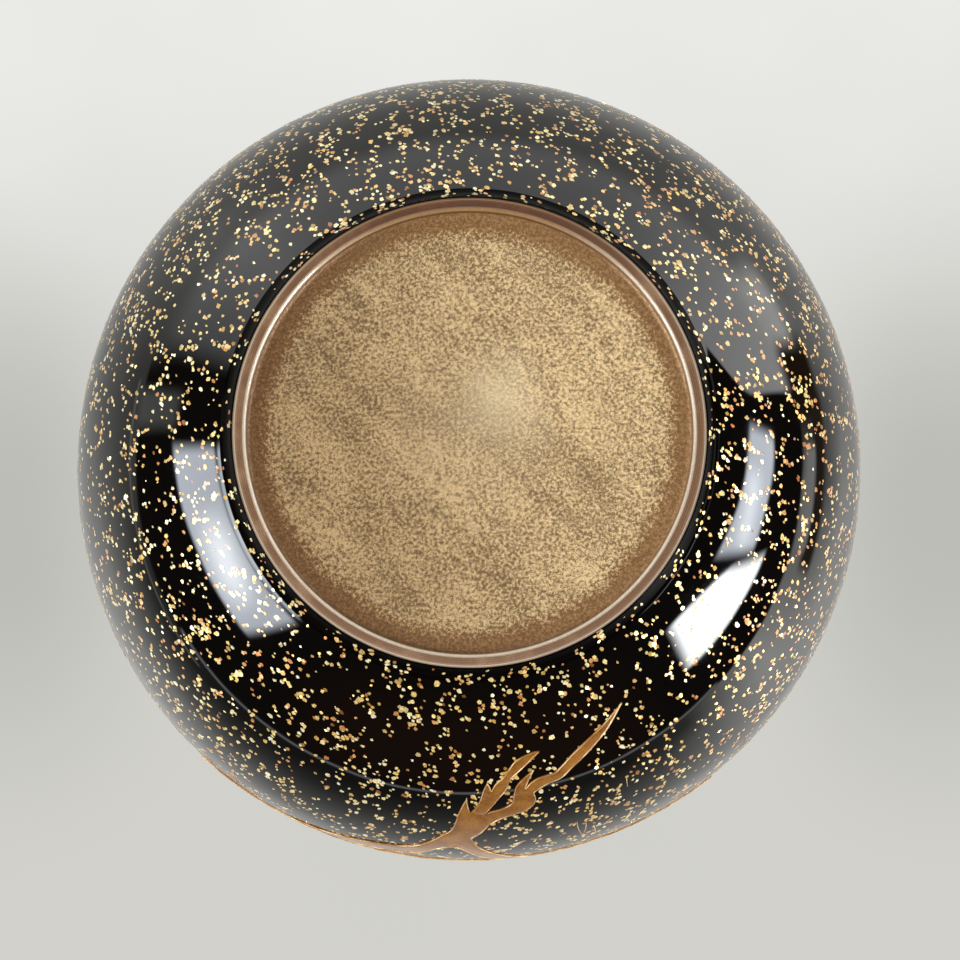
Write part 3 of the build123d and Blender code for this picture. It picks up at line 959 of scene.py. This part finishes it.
def drawn_shapes():
    """Name, outline and placing function of every drawn shape."""
    shapes = [
        ("gold_long_branch", outline_of(LONG_BRANCH), from_plane),
        ("gold_short_branch", outline_of(SHORT_BRANCH), from_plane),
        ("gold_fork", outline_of(FORK), from_plane),
        ("gold_bough", stroke_outline(BOUGH), from_front),
    ]
    return shapes + [("gold_rising_branches", stroke_outline(spine), from_front) for spine in RISING_BRANCHES]


def covered_by(point, shapes, skip):
    """Whether a point on the wall lies inside a drawn shape other than the skipped one."""
    for index, (name, outline, place) in enumerate(shapes):
        if index == skip:
            continue
        if place is from_plane:
            from_origin = point - PLANE_ORIGIN
            spot = Vector((from_origin.dot(PLANE_RIGHT), from_origin.dot(PLANE_UP)))
        else:
            spot = Vector((point.x, point.z))
        if inside(spot, outline):
            return True
    return False


def inset(outline, distance):
    """The outline drawn in by a distance, and how squarely each of its spots faces the light."""
    total = len(outline)
    area = sum(outline[index - 1].cross(outline[index]) for index in range(total))
    drawn_in, lit = [], []
    for index in range(total):
        along = (outline[(index + 1) % total] - outline[index - 1]).normalized()
        inward = Vector((-along.y, along.x)) * math.copysign(1.0, area)
        drawn_in.append(outline[index] + inward * distance)
        lit.append(max(0.0, -inward.dot(Vector(RIM_LIT_FROM))))
    return drawn_in, lit


def rim_runs(index, shapes):
    """Stretches of one outline that are neither covered by nor shared with another shape."""
    name, outline, place = shapes[index]
    drawn_in, lit = inset(outline, RIM_WIDTH / 2)
    runs = [[]]
    for corner, spot, glow in zip(outline, drawn_in, lit):
        foot, normal = place(spot)
        if covered_by(foot, shapes, index) or on_seam(corner, shapes, index):
            runs.append([])
        else:
            runs[-1].append((foot + normal * (BRANCH_RELIEF * 0.4), normal, glow))
    return [run for run in runs if len(run) > 3]


def make_branches():
    rng = random.Random(RIM_SEED)
    shapes = drawn_shapes()
    fills = {}
    rims = []
    for index, (name, outline, place) in enumerate(shapes):
        fills.setdefault(name, []).append(relief(outline, place, index))
        for run in rim_runs(index, shapes):
            widths = []
            press = 1.0
            lightest, heaviest = BRUSH_PRESSURE
            for position, (foot, normal, glow) in enumerate(run):
                press = min(heaviest, max(lightest, press + rng.gauss(0, BRUSH_UNEVENNESS)))
                taper = min(1.0, 0.35 + 0.22 * min(position, len(run) - 1 - position))
                # Partly a raised pale outline, partly painted highlight: rims widen along edges that face
                # RIM_LIT_FROM.
                widths.append(RIM_WIDTH * taper * press * (0.7 + 0.55 * glow))
            line = [(foot, normal) for foot, normal, glow in run]
            rims.append(ridge(line, widths, RIM_HEIGHT + BRANCH_RELIEF * 0.4))
    for name, parts in fills.items():
        add_piece(name + "_raised", parts, RAISED_GOLD, [name], 60.0)
    add_piece("gold_rims", rims, PALE_RIM, sharp=60.0)


def on_seam(spot, shapes, skip):
    """Whether a spot of one outline also lies on another outline drawn on the same plane."""
    place = shapes[skip][2]
    for index, (name, outline, other_place) in enumerate(shapes):
        if index == skip or other_place is not place:
            continue
        for corner in outline:
            if (corner - spot).length < SEAM_REACH:
                return True
    return False


def tangent_frame(azimuth, turn):
    """A wall point, the way out from it, and the level and upward ways along the wall."""
    foot, outward = wall_point(azimuth, turn)
    around = math.radians(azimuth)
    level = Vector((math.cos(around), math.sin(around), 0.0))
    return foot, outward, level, outward.cross(level)


def draped(frame, spread, angle):
    """The wall point and normal at a distance and direction from a frame's foot, along the wall."""
    foot, outward, level, upward = frame
    spot = foot + level * (spread * math.cos(angle)) + upward * (spread * math.sin(angle))
    return onto_wall(spot - outward * 8.0, outward, 16.0)


def cap(frame, rings, segments, reach_at, rise_at):
    """A closed mound laid over the wall, from its reach and height at any angle."""
    tops, bottoms = [], []
    for ring in range(rings + 1):
        for angle in circle(segments if ring else 1):
            base, normal = draped(frame, reach_at(angle) * ring / rings, angle)
            tops.append(base + normal * rise_at(angle, ring / rings))
            bottoms.append(base - normal * RELIEF_SINK)
    count = len(tops)
    over = [[0]] + [range(start, start + segments) for start in range(1, count, segments)]
    under = [[number + count for number in ring][::-1] for ring in over]
    faces = bridge(over[-1], under[-1][::-1])
    for side in (over, under):
        for inner, outer in zip(side, side[1:]):
            faces += bridge(inner, outer)
    return tops + bottoms, faces


def blossom_part(azimuth, turn, size):
    """Five cupped, veined petals about a raised middle."""
    half_petal = math.pi / PETALS
    petal_radius, petal_distance = PETAL_RADIUS * size, PETAL_DISTANCE * size

    def from_petal(angle):
        return ((angle - math.radians(90) + half_petal) % (2 * half_petal)) - half_petal

    def reach_at(angle):
        across = petal_distance * math.sin(from_petal(angle))
        along = petal_distance * math.cos(from_petal(angle))
        return along + math.sqrt(max(0.0, petal_radius ** 2 - across ** 2))

    def rise_at(angle, part):
        off_middle = from_petal(angle)
        cup = math.sin(math.pi * min(0.95, part)) ** 0.7
        groove = math.exp(-((abs(off_middle) - half_petal) / 0.13) ** 2)
        heart = math.exp(-(part / 0.20) ** 2)
        vein = 0.10 * math.cos(9 * off_middle) * part * cup
        rise = 0.30 + 0.50 * cup * (1 - 0.55 * groove) + 0.35 * heart + vein
        return BLOSSOM_RELIEF * (0.22 if part == 1 else min(rise, 1.0))

    return cap(tangent_frame(azimuth, turn), 12, 80, reach_at, rise_at)


def stamens(azimuth, turn, size, rng):
    """Short threads with a dot at the end, standing out from a blossom's middle."""
    frame = tangent_frame(azimuth, turn)
    parts = []
    for index in range(STAMENS):
        angle = 2 * math.pi * (index + rng.uniform(-0.2, 0.2)) / STAMENS
        near, far = 0.10 * size, size * rng.uniform(0.34, 0.46)
        line = []
        for step in range(5):
            base, normal = draped(frame, near + (far - near) * step / 4, angle)
            line.append((base + normal * (BLOSSOM_RELIEF * 0.72), normal))
        parts.append(ridge(line, STAMEN_WIDTHS, BLOSSOM_RELIEF * 0.28))
    return parts


def bud_part(azimuth, turn):
    """A round bud with a crease between its petals."""
    def rise_at(angle, part):
        crease = 0.30 * math.exp(-((part * math.cos(angle)) / 0.16) ** 2)
        return BLOSSOM_RELIEF * (0.2 + 0.8 * math.sqrt(1 - part ** 2) - crease * (1 - part))

    return cap(tangent_frame(azimuth, turn), 8, 40, lambda angle: BUD_RADIUS, rise_at)


def make_blossoms():
    rng = random.Random(STAMEN_SEED)
    parts = []
    threads = []
    for azimuth, turn, size in BLOSSOMS:
        parts.append(blossom_part(azimuth, turn, size))
        threads += stamens(azimuth, turn, size, rng)
    for azimuth, turn in BUDS:
        parts.append(bud_part(azimuth, turn))
    add_piece("gold_blossoms_raised", parts, RAISED_GOLD, ["gold_blossoms"], 70.0)
    add_piece("gold_stamens", threads, PALE_RIM, sharp=70.0)


def make_needles():
    """Sprays of fine curved brush lines that start together and fan out."""
    rng = random.Random(NEEDLE_SEED)
    parts = []
    for azimuth, down, heading, count, length in NEEDLE_SPRAYS:
        frame = tangent_frame(azimuth, -down)
        for index in range(count):
            spread = (index - (count - 1) / 2) / max(1, count - 1)
            direction = math.radians(heading + NEEDLE_FAN * spread + rng.uniform(-4, 4))
            bend = rng.uniform(-0.2, 0.2)
            own = length * rng.uniform(0.7, 1.0)
            line, widths = [], []
            for step in range(NEEDLE_STEPS + 1):
                part = step / NEEDLE_STEPS
                line.append(draped(frame, own * part, direction + bend * part))
                widths.append(NEEDLE_WIDTH * (0.25 + 0.75 * math.sin(math.pi * (0.12 + part * 0.85))))
            parts.append(ridge(line, widths, NEEDLE_RISE))
    add_piece("gold_needles", parts, PALE_RIM, sharp=70.0)


# ---- flakes

FLAKE_LOOKS = {"pale": PALE_FLAKE, "gold": GOLD_FLAKE, "copper": COPPER_FLAKE}


def wall_sampler():
    """Even spots over the whole outside: a function from a number in 0..1 and an azimuth."""
    down = wall_down(0.0, 0.5, True)
    up = wall_up(0.0, 0.5)
    stops = [(point, left_of(heading)) for point, heading in down[::-1]]
    stops += [(point, left_of(heading) * -1) for point, heading in up[1:]]
    totals = [0.0]
    for (before, _), (after, _) in zip(stops, stops[1:]):
        totals.append(totals[-1] + (after - before).length * (after.x + before.x) / 2)

    def sample(share, around):
        wanted = share * totals[-1]
        index = min(bisect.bisect_left(totals, wanted), len(totals) - 1)
        index = max(index, 1)
        part = (wanted - totals[index - 1]) / (totals[index] - totals[index - 1])
        point = stops[index - 1][0].lerp(stops[index][0], part)
        normal = stops[index - 1][1].lerp(stops[index][1], part).normalized()
        side, front = math.sin(around), -math.cos(around)
        return (Vector((point.x * side, point.x * front, point.y)),
                Vector((normal.x * side, normal.x * front, normal.y)))

    return sample, totals[-1]


def flake(centre, normal, radius, rng):
    """Points and faces of one thin, slightly crowned flake of irregular outline."""
    tilt = Vector((rng.gauss(0, 1), rng.gauss(0, 1), rng.gauss(0, 1))) * math.tan(math.radians(FLAKE_TILT))
    facing = (normal + tilt).normalized()
    across = facing.orthogonal().normalized()
    along = facing.cross(across)
    corners = rng.choice(FLAKE_CORNERS)
    start = rng.uniform(0, 2 * math.pi)
    stretch = rng.uniform(0.66, 1.0)
    points = [centre + facing * (FLAKE_RIM + FLAKE_CROWN * rng.uniform(0.2, 1.0))]
    for height in (FLAKE_RIM, -FLAKE_SINK):
        state = rng.getstate()
        for index in range(corners):
            angle = start + 2 * math.pi * (index + rng.uniform(-0.22, 0.22)) / corners
            reach = radius * rng.uniform(0.74, 1.22)
            sideways, upward = reach * math.cos(angle), reach * stretch * math.sin(angle)
            points.append(centre + across * sideways + along * upward + facing * height)
        if height > 0:
            rng.setstate(state)
    rim, sunk = range(1, 1 + corners), range(1 + corners, 1 + 2 * corners)
    return points, bridge([0], rim) + bridge(rim, sunk) + [tuple(sunk)[::-1]]


def make_flakes():
    """Single flakes and clumps of three mixtures; more copper towards -X and darker ones higher up are
    painted shade.
    """
    rng = random.Random(FLAKE_SEED)
    sample, total = wall_sampler()
    flakes = {kind: [] for kind in FLAKE_LOOKS}
    while sum(map(len, flakes.values())) < FLAKE_COUNT:
        share, around = rng.random(), rng.uniform(0, 2 * math.pi)
        members = 1
        if rng.random() < FLAKE_CLUMP_CHANCE:
            members = rng.choice(FLAKE_CLUMPS)
        hue = rng.random()
        for member in range(members):
            if member:
                share += rng.gauss(0, FLAKE_CLUMP_REACH) * BELLY_RADIUS / total
                around += rng.gauss(0, FLAKE_CLUMP_TURN)
                share = min(max(share, 0.0), 1.0)
            centre, normal = sample(share, around)
            radius = FLAKE_RADIUS * max(0.5, min(1.5, rng.gauss(1.0, FLAKE_SPREAD)))
            own_hue = hue if rng.random() < FLAKE_LIKENESS else rng.random()
            # Painted shade: flakes towards -X drift to the duller copper mixture.
            own_hue += COPPER_SHADE_DRIFT * max(0.0, -centre.x / BELLY_RADIUS)
            kind = "pale" if own_hue < PALE_BELOW else "gold" if own_hue < GOLD_BELOW else "copper"
            part = flake(centre, normal, radius, rng)
            # Painted shade: a flake's tone is lowered the higher it sits.
            painted_shade = PAINTED_SHADE_DARKENING * min(1.0, max(0.0, (centre.z - SHADE_FROM_HEIGHT) / SHADE_DEEPENS_OVER))
            tone = min(1.0, max(0.0, rng.gauss(0.5 - painted_shade, FLAKE_TONE_SPREAD)))
            flakes[kind].append((part, tone))
    for kind, members in flakes.items():
        parts = [part for part, tone in members]
        piece = add_piece(kind + "_flakes", parts, FLAKE_LOOKS[kind], sharp=50.0)
        tones = [tone for (points, faces), tone in members for face in faces]
        piece.data.attributes.new("tone", "FLOAT", "FACE").data.foreach_set("value", tones)


# ---- stage, camera and light, in metres

CAMERA_PLACE = Vector((0.0, -0.04144, -0.27597))
CAMERA_AIM = Vector((-0.00266, -0.00435, 0.0620))
CAMERA_LENS = 48.87
CAMERA_SENSOR = 36.0


def make_camera():
    """Looks up at the bowl's underside from a little in front, with +Y up in the picture."""
    data = bpy.data.cameras.new("view_from_below")
    data.lens = CAMERA_LENS
    data.sensor_width = CAMERA_SENSOR
    data.clip_start = 0.01
    data.clip_end = 100.0
    camera = bpy.data.objects.new("view_from_below", data)
    forward = (CAMERA_AIM - CAMERA_PLACE).normalized()
    right = forward.cross(Vector((0.0, 1.0, 0.0))).normalized()
    turned = Matrix((right, right.cross(forward), -forward)).transposed().to_4x4()
    camera.matrix_world = Matrix.Translation(CAMERA_PLACE) @ turned
    bpy.context.scene.collection.objects.link(camera)
    bpy.context.scene.camera = camera


def area_light(name, place, aim, size, power, colour):
    """A round soft light that brightens the bowl without being mirrored in it."""
    data = bpy.data.lights.new(name, "AREA")
    data.shape = "DISK"
    data.size = size
    data.energy = power
    data.color = colour
    lamp = bpy.data.objects.new(name, data)
    lamp.location = place
    lamp.rotation_euler = (Vector(aim) - Vector(place)).to_track_quat("-Z", "Y").to_euler()
    lamp.visible_camera = False
    lamp.visible_glossy = False
    bpy.context.scene.collection.objects.link(lamp)


FLOOR_DROP = 0.0004
FLOOR_RADIUS = 4.0
FLOOR_FADE = (0.7, 3.2)
FLOOR_SEGMENTS = 96


def make_floor():
    """A pale floor just under the foot, seen from above only, that fades into the backdrop."""
    look = bpy.data.materials.new("pale_floor")
    tree = empty_tree(look)
    point = put(tree, "ShaderNodeTexCoord", output="Object")
    fibre = noise(point, 420.0, 4.0, 0.7)
    colour = blend(noise(point, 2.2, 3.0), (0.70, 0.70, 0.675), (0.76, 0.76, 0.74))
    colour = blend(fibre.remap(0.3, 0.7, 0.0, 0.12), colour, (0.60, 0.60, 0.58))
    paper = put(tree, "ShaderNodeBsdfPrincipled",
                {"Base Color": colour, "Roughness": 0.75, "Normal": bump(fibre, 0.0002, 0.3)})
    clear = put(tree, "ShaderNodeBsdfTransparent")
    under = put(tree, "ShaderNodeNewGeometry", output="Backfacing")
    unseen = under.maximum(axis_distance(point).remap(*FLOOR_FADE))
    mixed = put(tree, "ShaderNodeMixShader", {0: unseen, 1: paper, 2: clear})
    put(tree, "ShaderNodeOutputMaterial", {"Surface": mixed})
    mesh = bpy.data.meshes.new("floor")
    corners = [(FLOOR_RADIUS * math.cos(angle), FLOOR_RADIUS * math.sin(angle), -FLOOR_DROP)
               for angle in circle(FLOOR_SEGMENTS)]
    mesh.from_pydata(corners, [], [tuple(range(FLOOR_SEGMENTS))])
    mesh.materials.append(look)
    floor = bpy.data.objects.new("floor", mesh)
    bpy.context.scene.collection.objects.link(floor)
    floor.visible_glossy = False
    floor.visible_diffuse = False
    floor.visible_shadow = False


# The studio as the lacquer mirrors it. A direction is an azimuth from the front, towards +X, and a
# polar angle from straight down. Rings give the room's brightness round the compass, as
# (azimuth, brightness), at one polar angle.
DARK_STUDIO = (0.028, 0.024, 0.022)
WARM_FRONT = ((0.0, 34.0), (74.0, 14.0), 9.0)
WARM_TONE = (0.10, 0.045, 0.030)
BACK_PANEL = (
    (-180, 1.2), (-152, 1.35), (-138, 1.9), (-125, 2.9), (-112, 3.4), (-104, 3.2), (-103, 0.0), (112, 0.0),
    (117, 1.0), (127, 1.5), (137, 1.9), (150, 1.4), (180, 1.2),
)
PANEL_EDGE = (53.8, 56.2)
PANEL_END = (-107.0, -105.5)
PANEL_CORNER = 75.0
PANEL_CORNER_BEND = 0.12
NADIR_EDGE = (17.0, 11.0)
NADIR_TONE = (1.35, 1.33, 1.28)
ROOM_RINGS = (
    (96.0, ((-180, 0.56), (-150, 0.68), (-132, 1.1), (-120, 1.8), (-112, 0.4), (-104, 0.2), (-97, 0.5),
            (-88, 1.5), (-75, 1.6), (-60, 2.8), (-50, 1.3), (-42, 0.3), (-30, 0.09), (30, 0.07), (52, 0.12),
            (75, 0.3), (92, 0.5), (110, 0.4), (122, 0.7), (135, 1.1), (150, 0.66), (180, 0.56))),
    (106.0, ((-180, 0.55), (-150, 0.56), (-132, 0.75), (-119, 1.0), (-105, 0.5), (-92, 0.5), (-84, 1.0),
             (-74, 1.5), (-60, 2.6), (-46, 1.1), (-35, 0.4), (-20, 0.2), (25, 0.18), (45, 0.28), (60, 0.62),
             (75, 0.8), (90, 0.72), (105, 0.53), (135, 0.72), (150, 0.56), (180, 0.55))),
    (121.0, ((-180, 0.60), (-135, 0.70), (-105, 0.85), (-90, 1.3), (-72, 1.6), (-58, 1.55), (-44, 0.95),
             (-30, 0.56), (0, 0.5), (30, 0.52), (45, 0.85), (60, 1.3), (75, 1.3), (92, 0.95), (106, 0.6),
             (180, 0.60))),
    (137.0, ((-180, 0.58), (-105, 0.75), (-75, 0.95), (-45, 1.0), (-20, 0.8), (20, 0.8), (50, 1.1),
             (65, 1.2), (90, 0.9), (110, 0.65), (180, 0.58))),
)
ZENITH = (165.0, 0.58)
ROOM_TINT = (1.0, 1.0, 0.97)
ROOM_EDGE = (90.6, 92.0)
BACK_ROOM_EDGE = (82.0, 93.0)
BACK_ROOM_SIDES = (108.0, 116.0)

# Windows: the side of the bowl (1 towards +X), the azimuth of the near and far ends with their slant
# per degree of polar angle, then the polar angle of the inner and outer sides with their slope and
# bend per degree along the window, the light's colour, and a brighter middle.
WINDOWS = (
    (1, (52.0, 0.4), (95.5, 0.0), (56.8, 0.029, 0.0024), (71.4, -0.011, 0.0028), (8.6, 9.2, 10.2),
     ((70.0, 9.0), (65.0, 2.5), 6.5, (24.0, 25.0, 26.0))),
    (-1, (71.3, 0.35), (102.0, -0.3), (65.0, 0.22, 0.0), (76.3, 0.12, 0.0), (9.2, 9.8, 10.8),
     ((-83.0, 8.0), (72.0, 2.0), 3.5, (16.0, 17.0, 18.0))),
    (-1, (52.0, -0.22), (67.0, 0.5), (64.0, 0.036, 0.018), (78.2, 0.13, 0.0), (22.0, 23.0, 23.5),
     ((-61.0, 8.0), (71.0, 4.0), 4.0, (27.0, 28.0, 28.0))),
)
WINDOW_SOFTNESS = 0.8
WINDOW_END_SOFTNESS = 2.0
WINDOW_MIDDLE = 65.0

# Other soft patches: (azimuth, half width), (polar angle, half height), softness, colour.
PATCHES = (
    ((103.0, 3.5), (84.0, 8.0), 2.0, (0.80, 0.83, 0.79)),
    ((-120.0, 8.0), (91.0, 6.0), 3.5, (3.5, 3.55, 3.45)),
    ((-108.0, 6.5), (96.5, 7.5), 2.5, (0.10, 0.060, 0.030)),
    ((-91.0, 15.0), (101.5, 4.0), 2.0, (0.14, 0.10, 0.075)),
    ((-88.0, 9.0), (95.5, 3.0), 1.5, (1.85, 1.87, 1.84)),
    ((6.0, 57.0), (90.6, 0.5), 0.6, (1.6, 1.65, 1.7)),
    ((82.0, 26.0), (94.0, 0.3), 0.6, (1.3, 1.32, 1.3)),
)


def xyz(vector):
    node = vector.tree.nodes.new("ShaderNodeSeparateXYZ")
    fill(node.inputs[0], vector)
    return [Value(vector.tree, socket) for socket in node.outputs]


def between(value, low, high, softness):
    """How far a value lies between two soft limits."""
    return (value - low).remap(-softness, softness) * (high - value).remap(-softness, softness)


def bent(along, start, slope, bend=0.0):
    return along * (along * bend + slope) + start


def make_world():
    world = bpy.data.worlds.new("studio")
    bpy.context.scene.world = world
    tree = empty_tree(world)
    way = put(tree, "ShaderNodeTexCoord", output="Generated")
    x, y, z = xyz(way)
    to_degrees = 180.0 / math.pi
    polar = calc("ARCCOSINE", z * -1.0) * to_degrees
    azimuth = calc("ARCTAN2", x, y * -1.0) * to_degrees

    def box(sideways, upright, softness):
        """How far a direction lies in a soft box of (azimuth, half width), (polar, half height)."""
        (aside, half_width), (up, half_height) = sideways, upright
        across = between(azimuth, aside - half_width, aside + half_width, softness)
        return across * between(polar, up - half_height, up + half_height, softness)

    def ring(stops):
        """Brightness round the compass, as a colour."""
        brightest = max(level for place, level in stops)
        tones = [((place + 180) / 360, level / brightest) for place, level in stops]
        return ramp(azimuth.remap(-180.0, 180.0, smooth=False), tones).scaled(brightest)

    colour = blend(box(*WARM_FRONT), DARK_STUDIO, WARM_TONE)
    corner = (PANEL_CORNER - polar).maximum(0.0)
    cut_off = (azimuth + corner * corner * PANEL_CORNER_BEND).remap(*PANEL_END)
    kept = (1.0 - cut_off).maximum(azimuth.remap(0.0, 1.0))
    panel = ring(BACK_PANEL).scaled(polar.remap(*PANEL_EDGE) * kept)
    colour = blend(1.0, colour, panel, "ADD")

    for side, near, far, inner, outer, shine, core in WINDOWS:
        across = azimuth * float(side)
        height = polar - WINDOW_MIDDLE
        along = across - near[0]
        ends = between(across, bent(height, *near), bent(height, *far), WINDOW_END_SOFTNESS)
        sides = between(polar, bent(along, *inner), bent(along, *outer), WINDOW_SOFTNESS)
        colour = blend(ends * sides, colour, blend(box(*core[:3]), shine, core[3]))
    colour = blend(polar.remap(*NADIR_EDGE), colour, NADIR_TONE)

    (lowest, stops), *higher = ROOM_RINGS
    room = ring(stops)
    for polar_angle, stops in higher:
        room = blend(polar.remap(lowest, polar_angle, smooth=False), room, ring(stops))
        lowest = polar_angle
    room = blend(polar.remap(lowest, ZENITH[0]), room, (ZENITH[1],) * 3)
    room = blend(1.0, room, ROOM_TINT, "MULTIPLY")
    over_panel = abs(azimuth).remap(*BACK_ROOM_SIDES) * polar.remap(*BACK_ROOM_EDGE)
    colour = blend(polar.remap(*ROOM_EDGE).maximum(over_panel), colour, room)
    for sideways, upright, softness, shine in PATCHES:
        colour = blend(box(sideways, upright, softness), colour, shine)

    seen = put(tree, "ShaderNodeLightPath", output="Is Camera Ray")
    colour = blend(seen, colour, backdrop(way))
    background = put(tree, "ShaderNodeBackground", {"Color": colour, "Strength": 1.0})
    put(tree, "ShaderNodeOutputWorld", {"Surface": background})


def backdrop(way):
    """The pale paper behind the bowl, a little brighter towards +Y, with painted shadows of the bowl at both
    sides.
    """
    x, y, z = xyz(way)
    colour = blend(y.remap(0.0, 0.46), (0.645, 0.640, 0.598), (0.84, 0.84, 0.82))
    # Painted shadow of the bowl on the paper at its left and right.
    side_shadow = abs(x).remap(0.19, 0.33) * abs(y - 0.075).remap(0.27, 0.02)
    colour = blend(side_shadow, colour, (0.505, 0.507, 0.475))
    return blend(noise(way, 5.0, 2.0).remap(0.3, 0.7, 0.0, 0.16), colour, (0.60, 0.60, 0.58))


# ---- build

bpy.context.scene.view_settings.view_transform = "Standard"

make_camera()
make_world()
make_floor()
area_light("overhead_softbox", (-0.15, -0.25, 1.0), (0.0, 0.0, 0.05), 0.9, 8.5, (1.0, 0.99, 0.97))
area_light("fill_from_below", (0.15, -0.25, -0.8), (0.0, 0.0, 0.03), 0.6, 10.0, (1.0, 0.98, 0.95))

make_outer_coat()
make_inner_coat()
make_foot_ring()
make_base_disc()
make_mouth_band()
make_branches()
make_blossoms()
make_needles()
make_flakes()

for node, look in (("lower_body", TURNED_WOOD), ("upper_body", TURNED_WOOD), ("seam_cloth", HEMP)):
    shown = bpy.data.objects[node]
    shown.data.materials.clear()
    shown.data.materials.append(look)
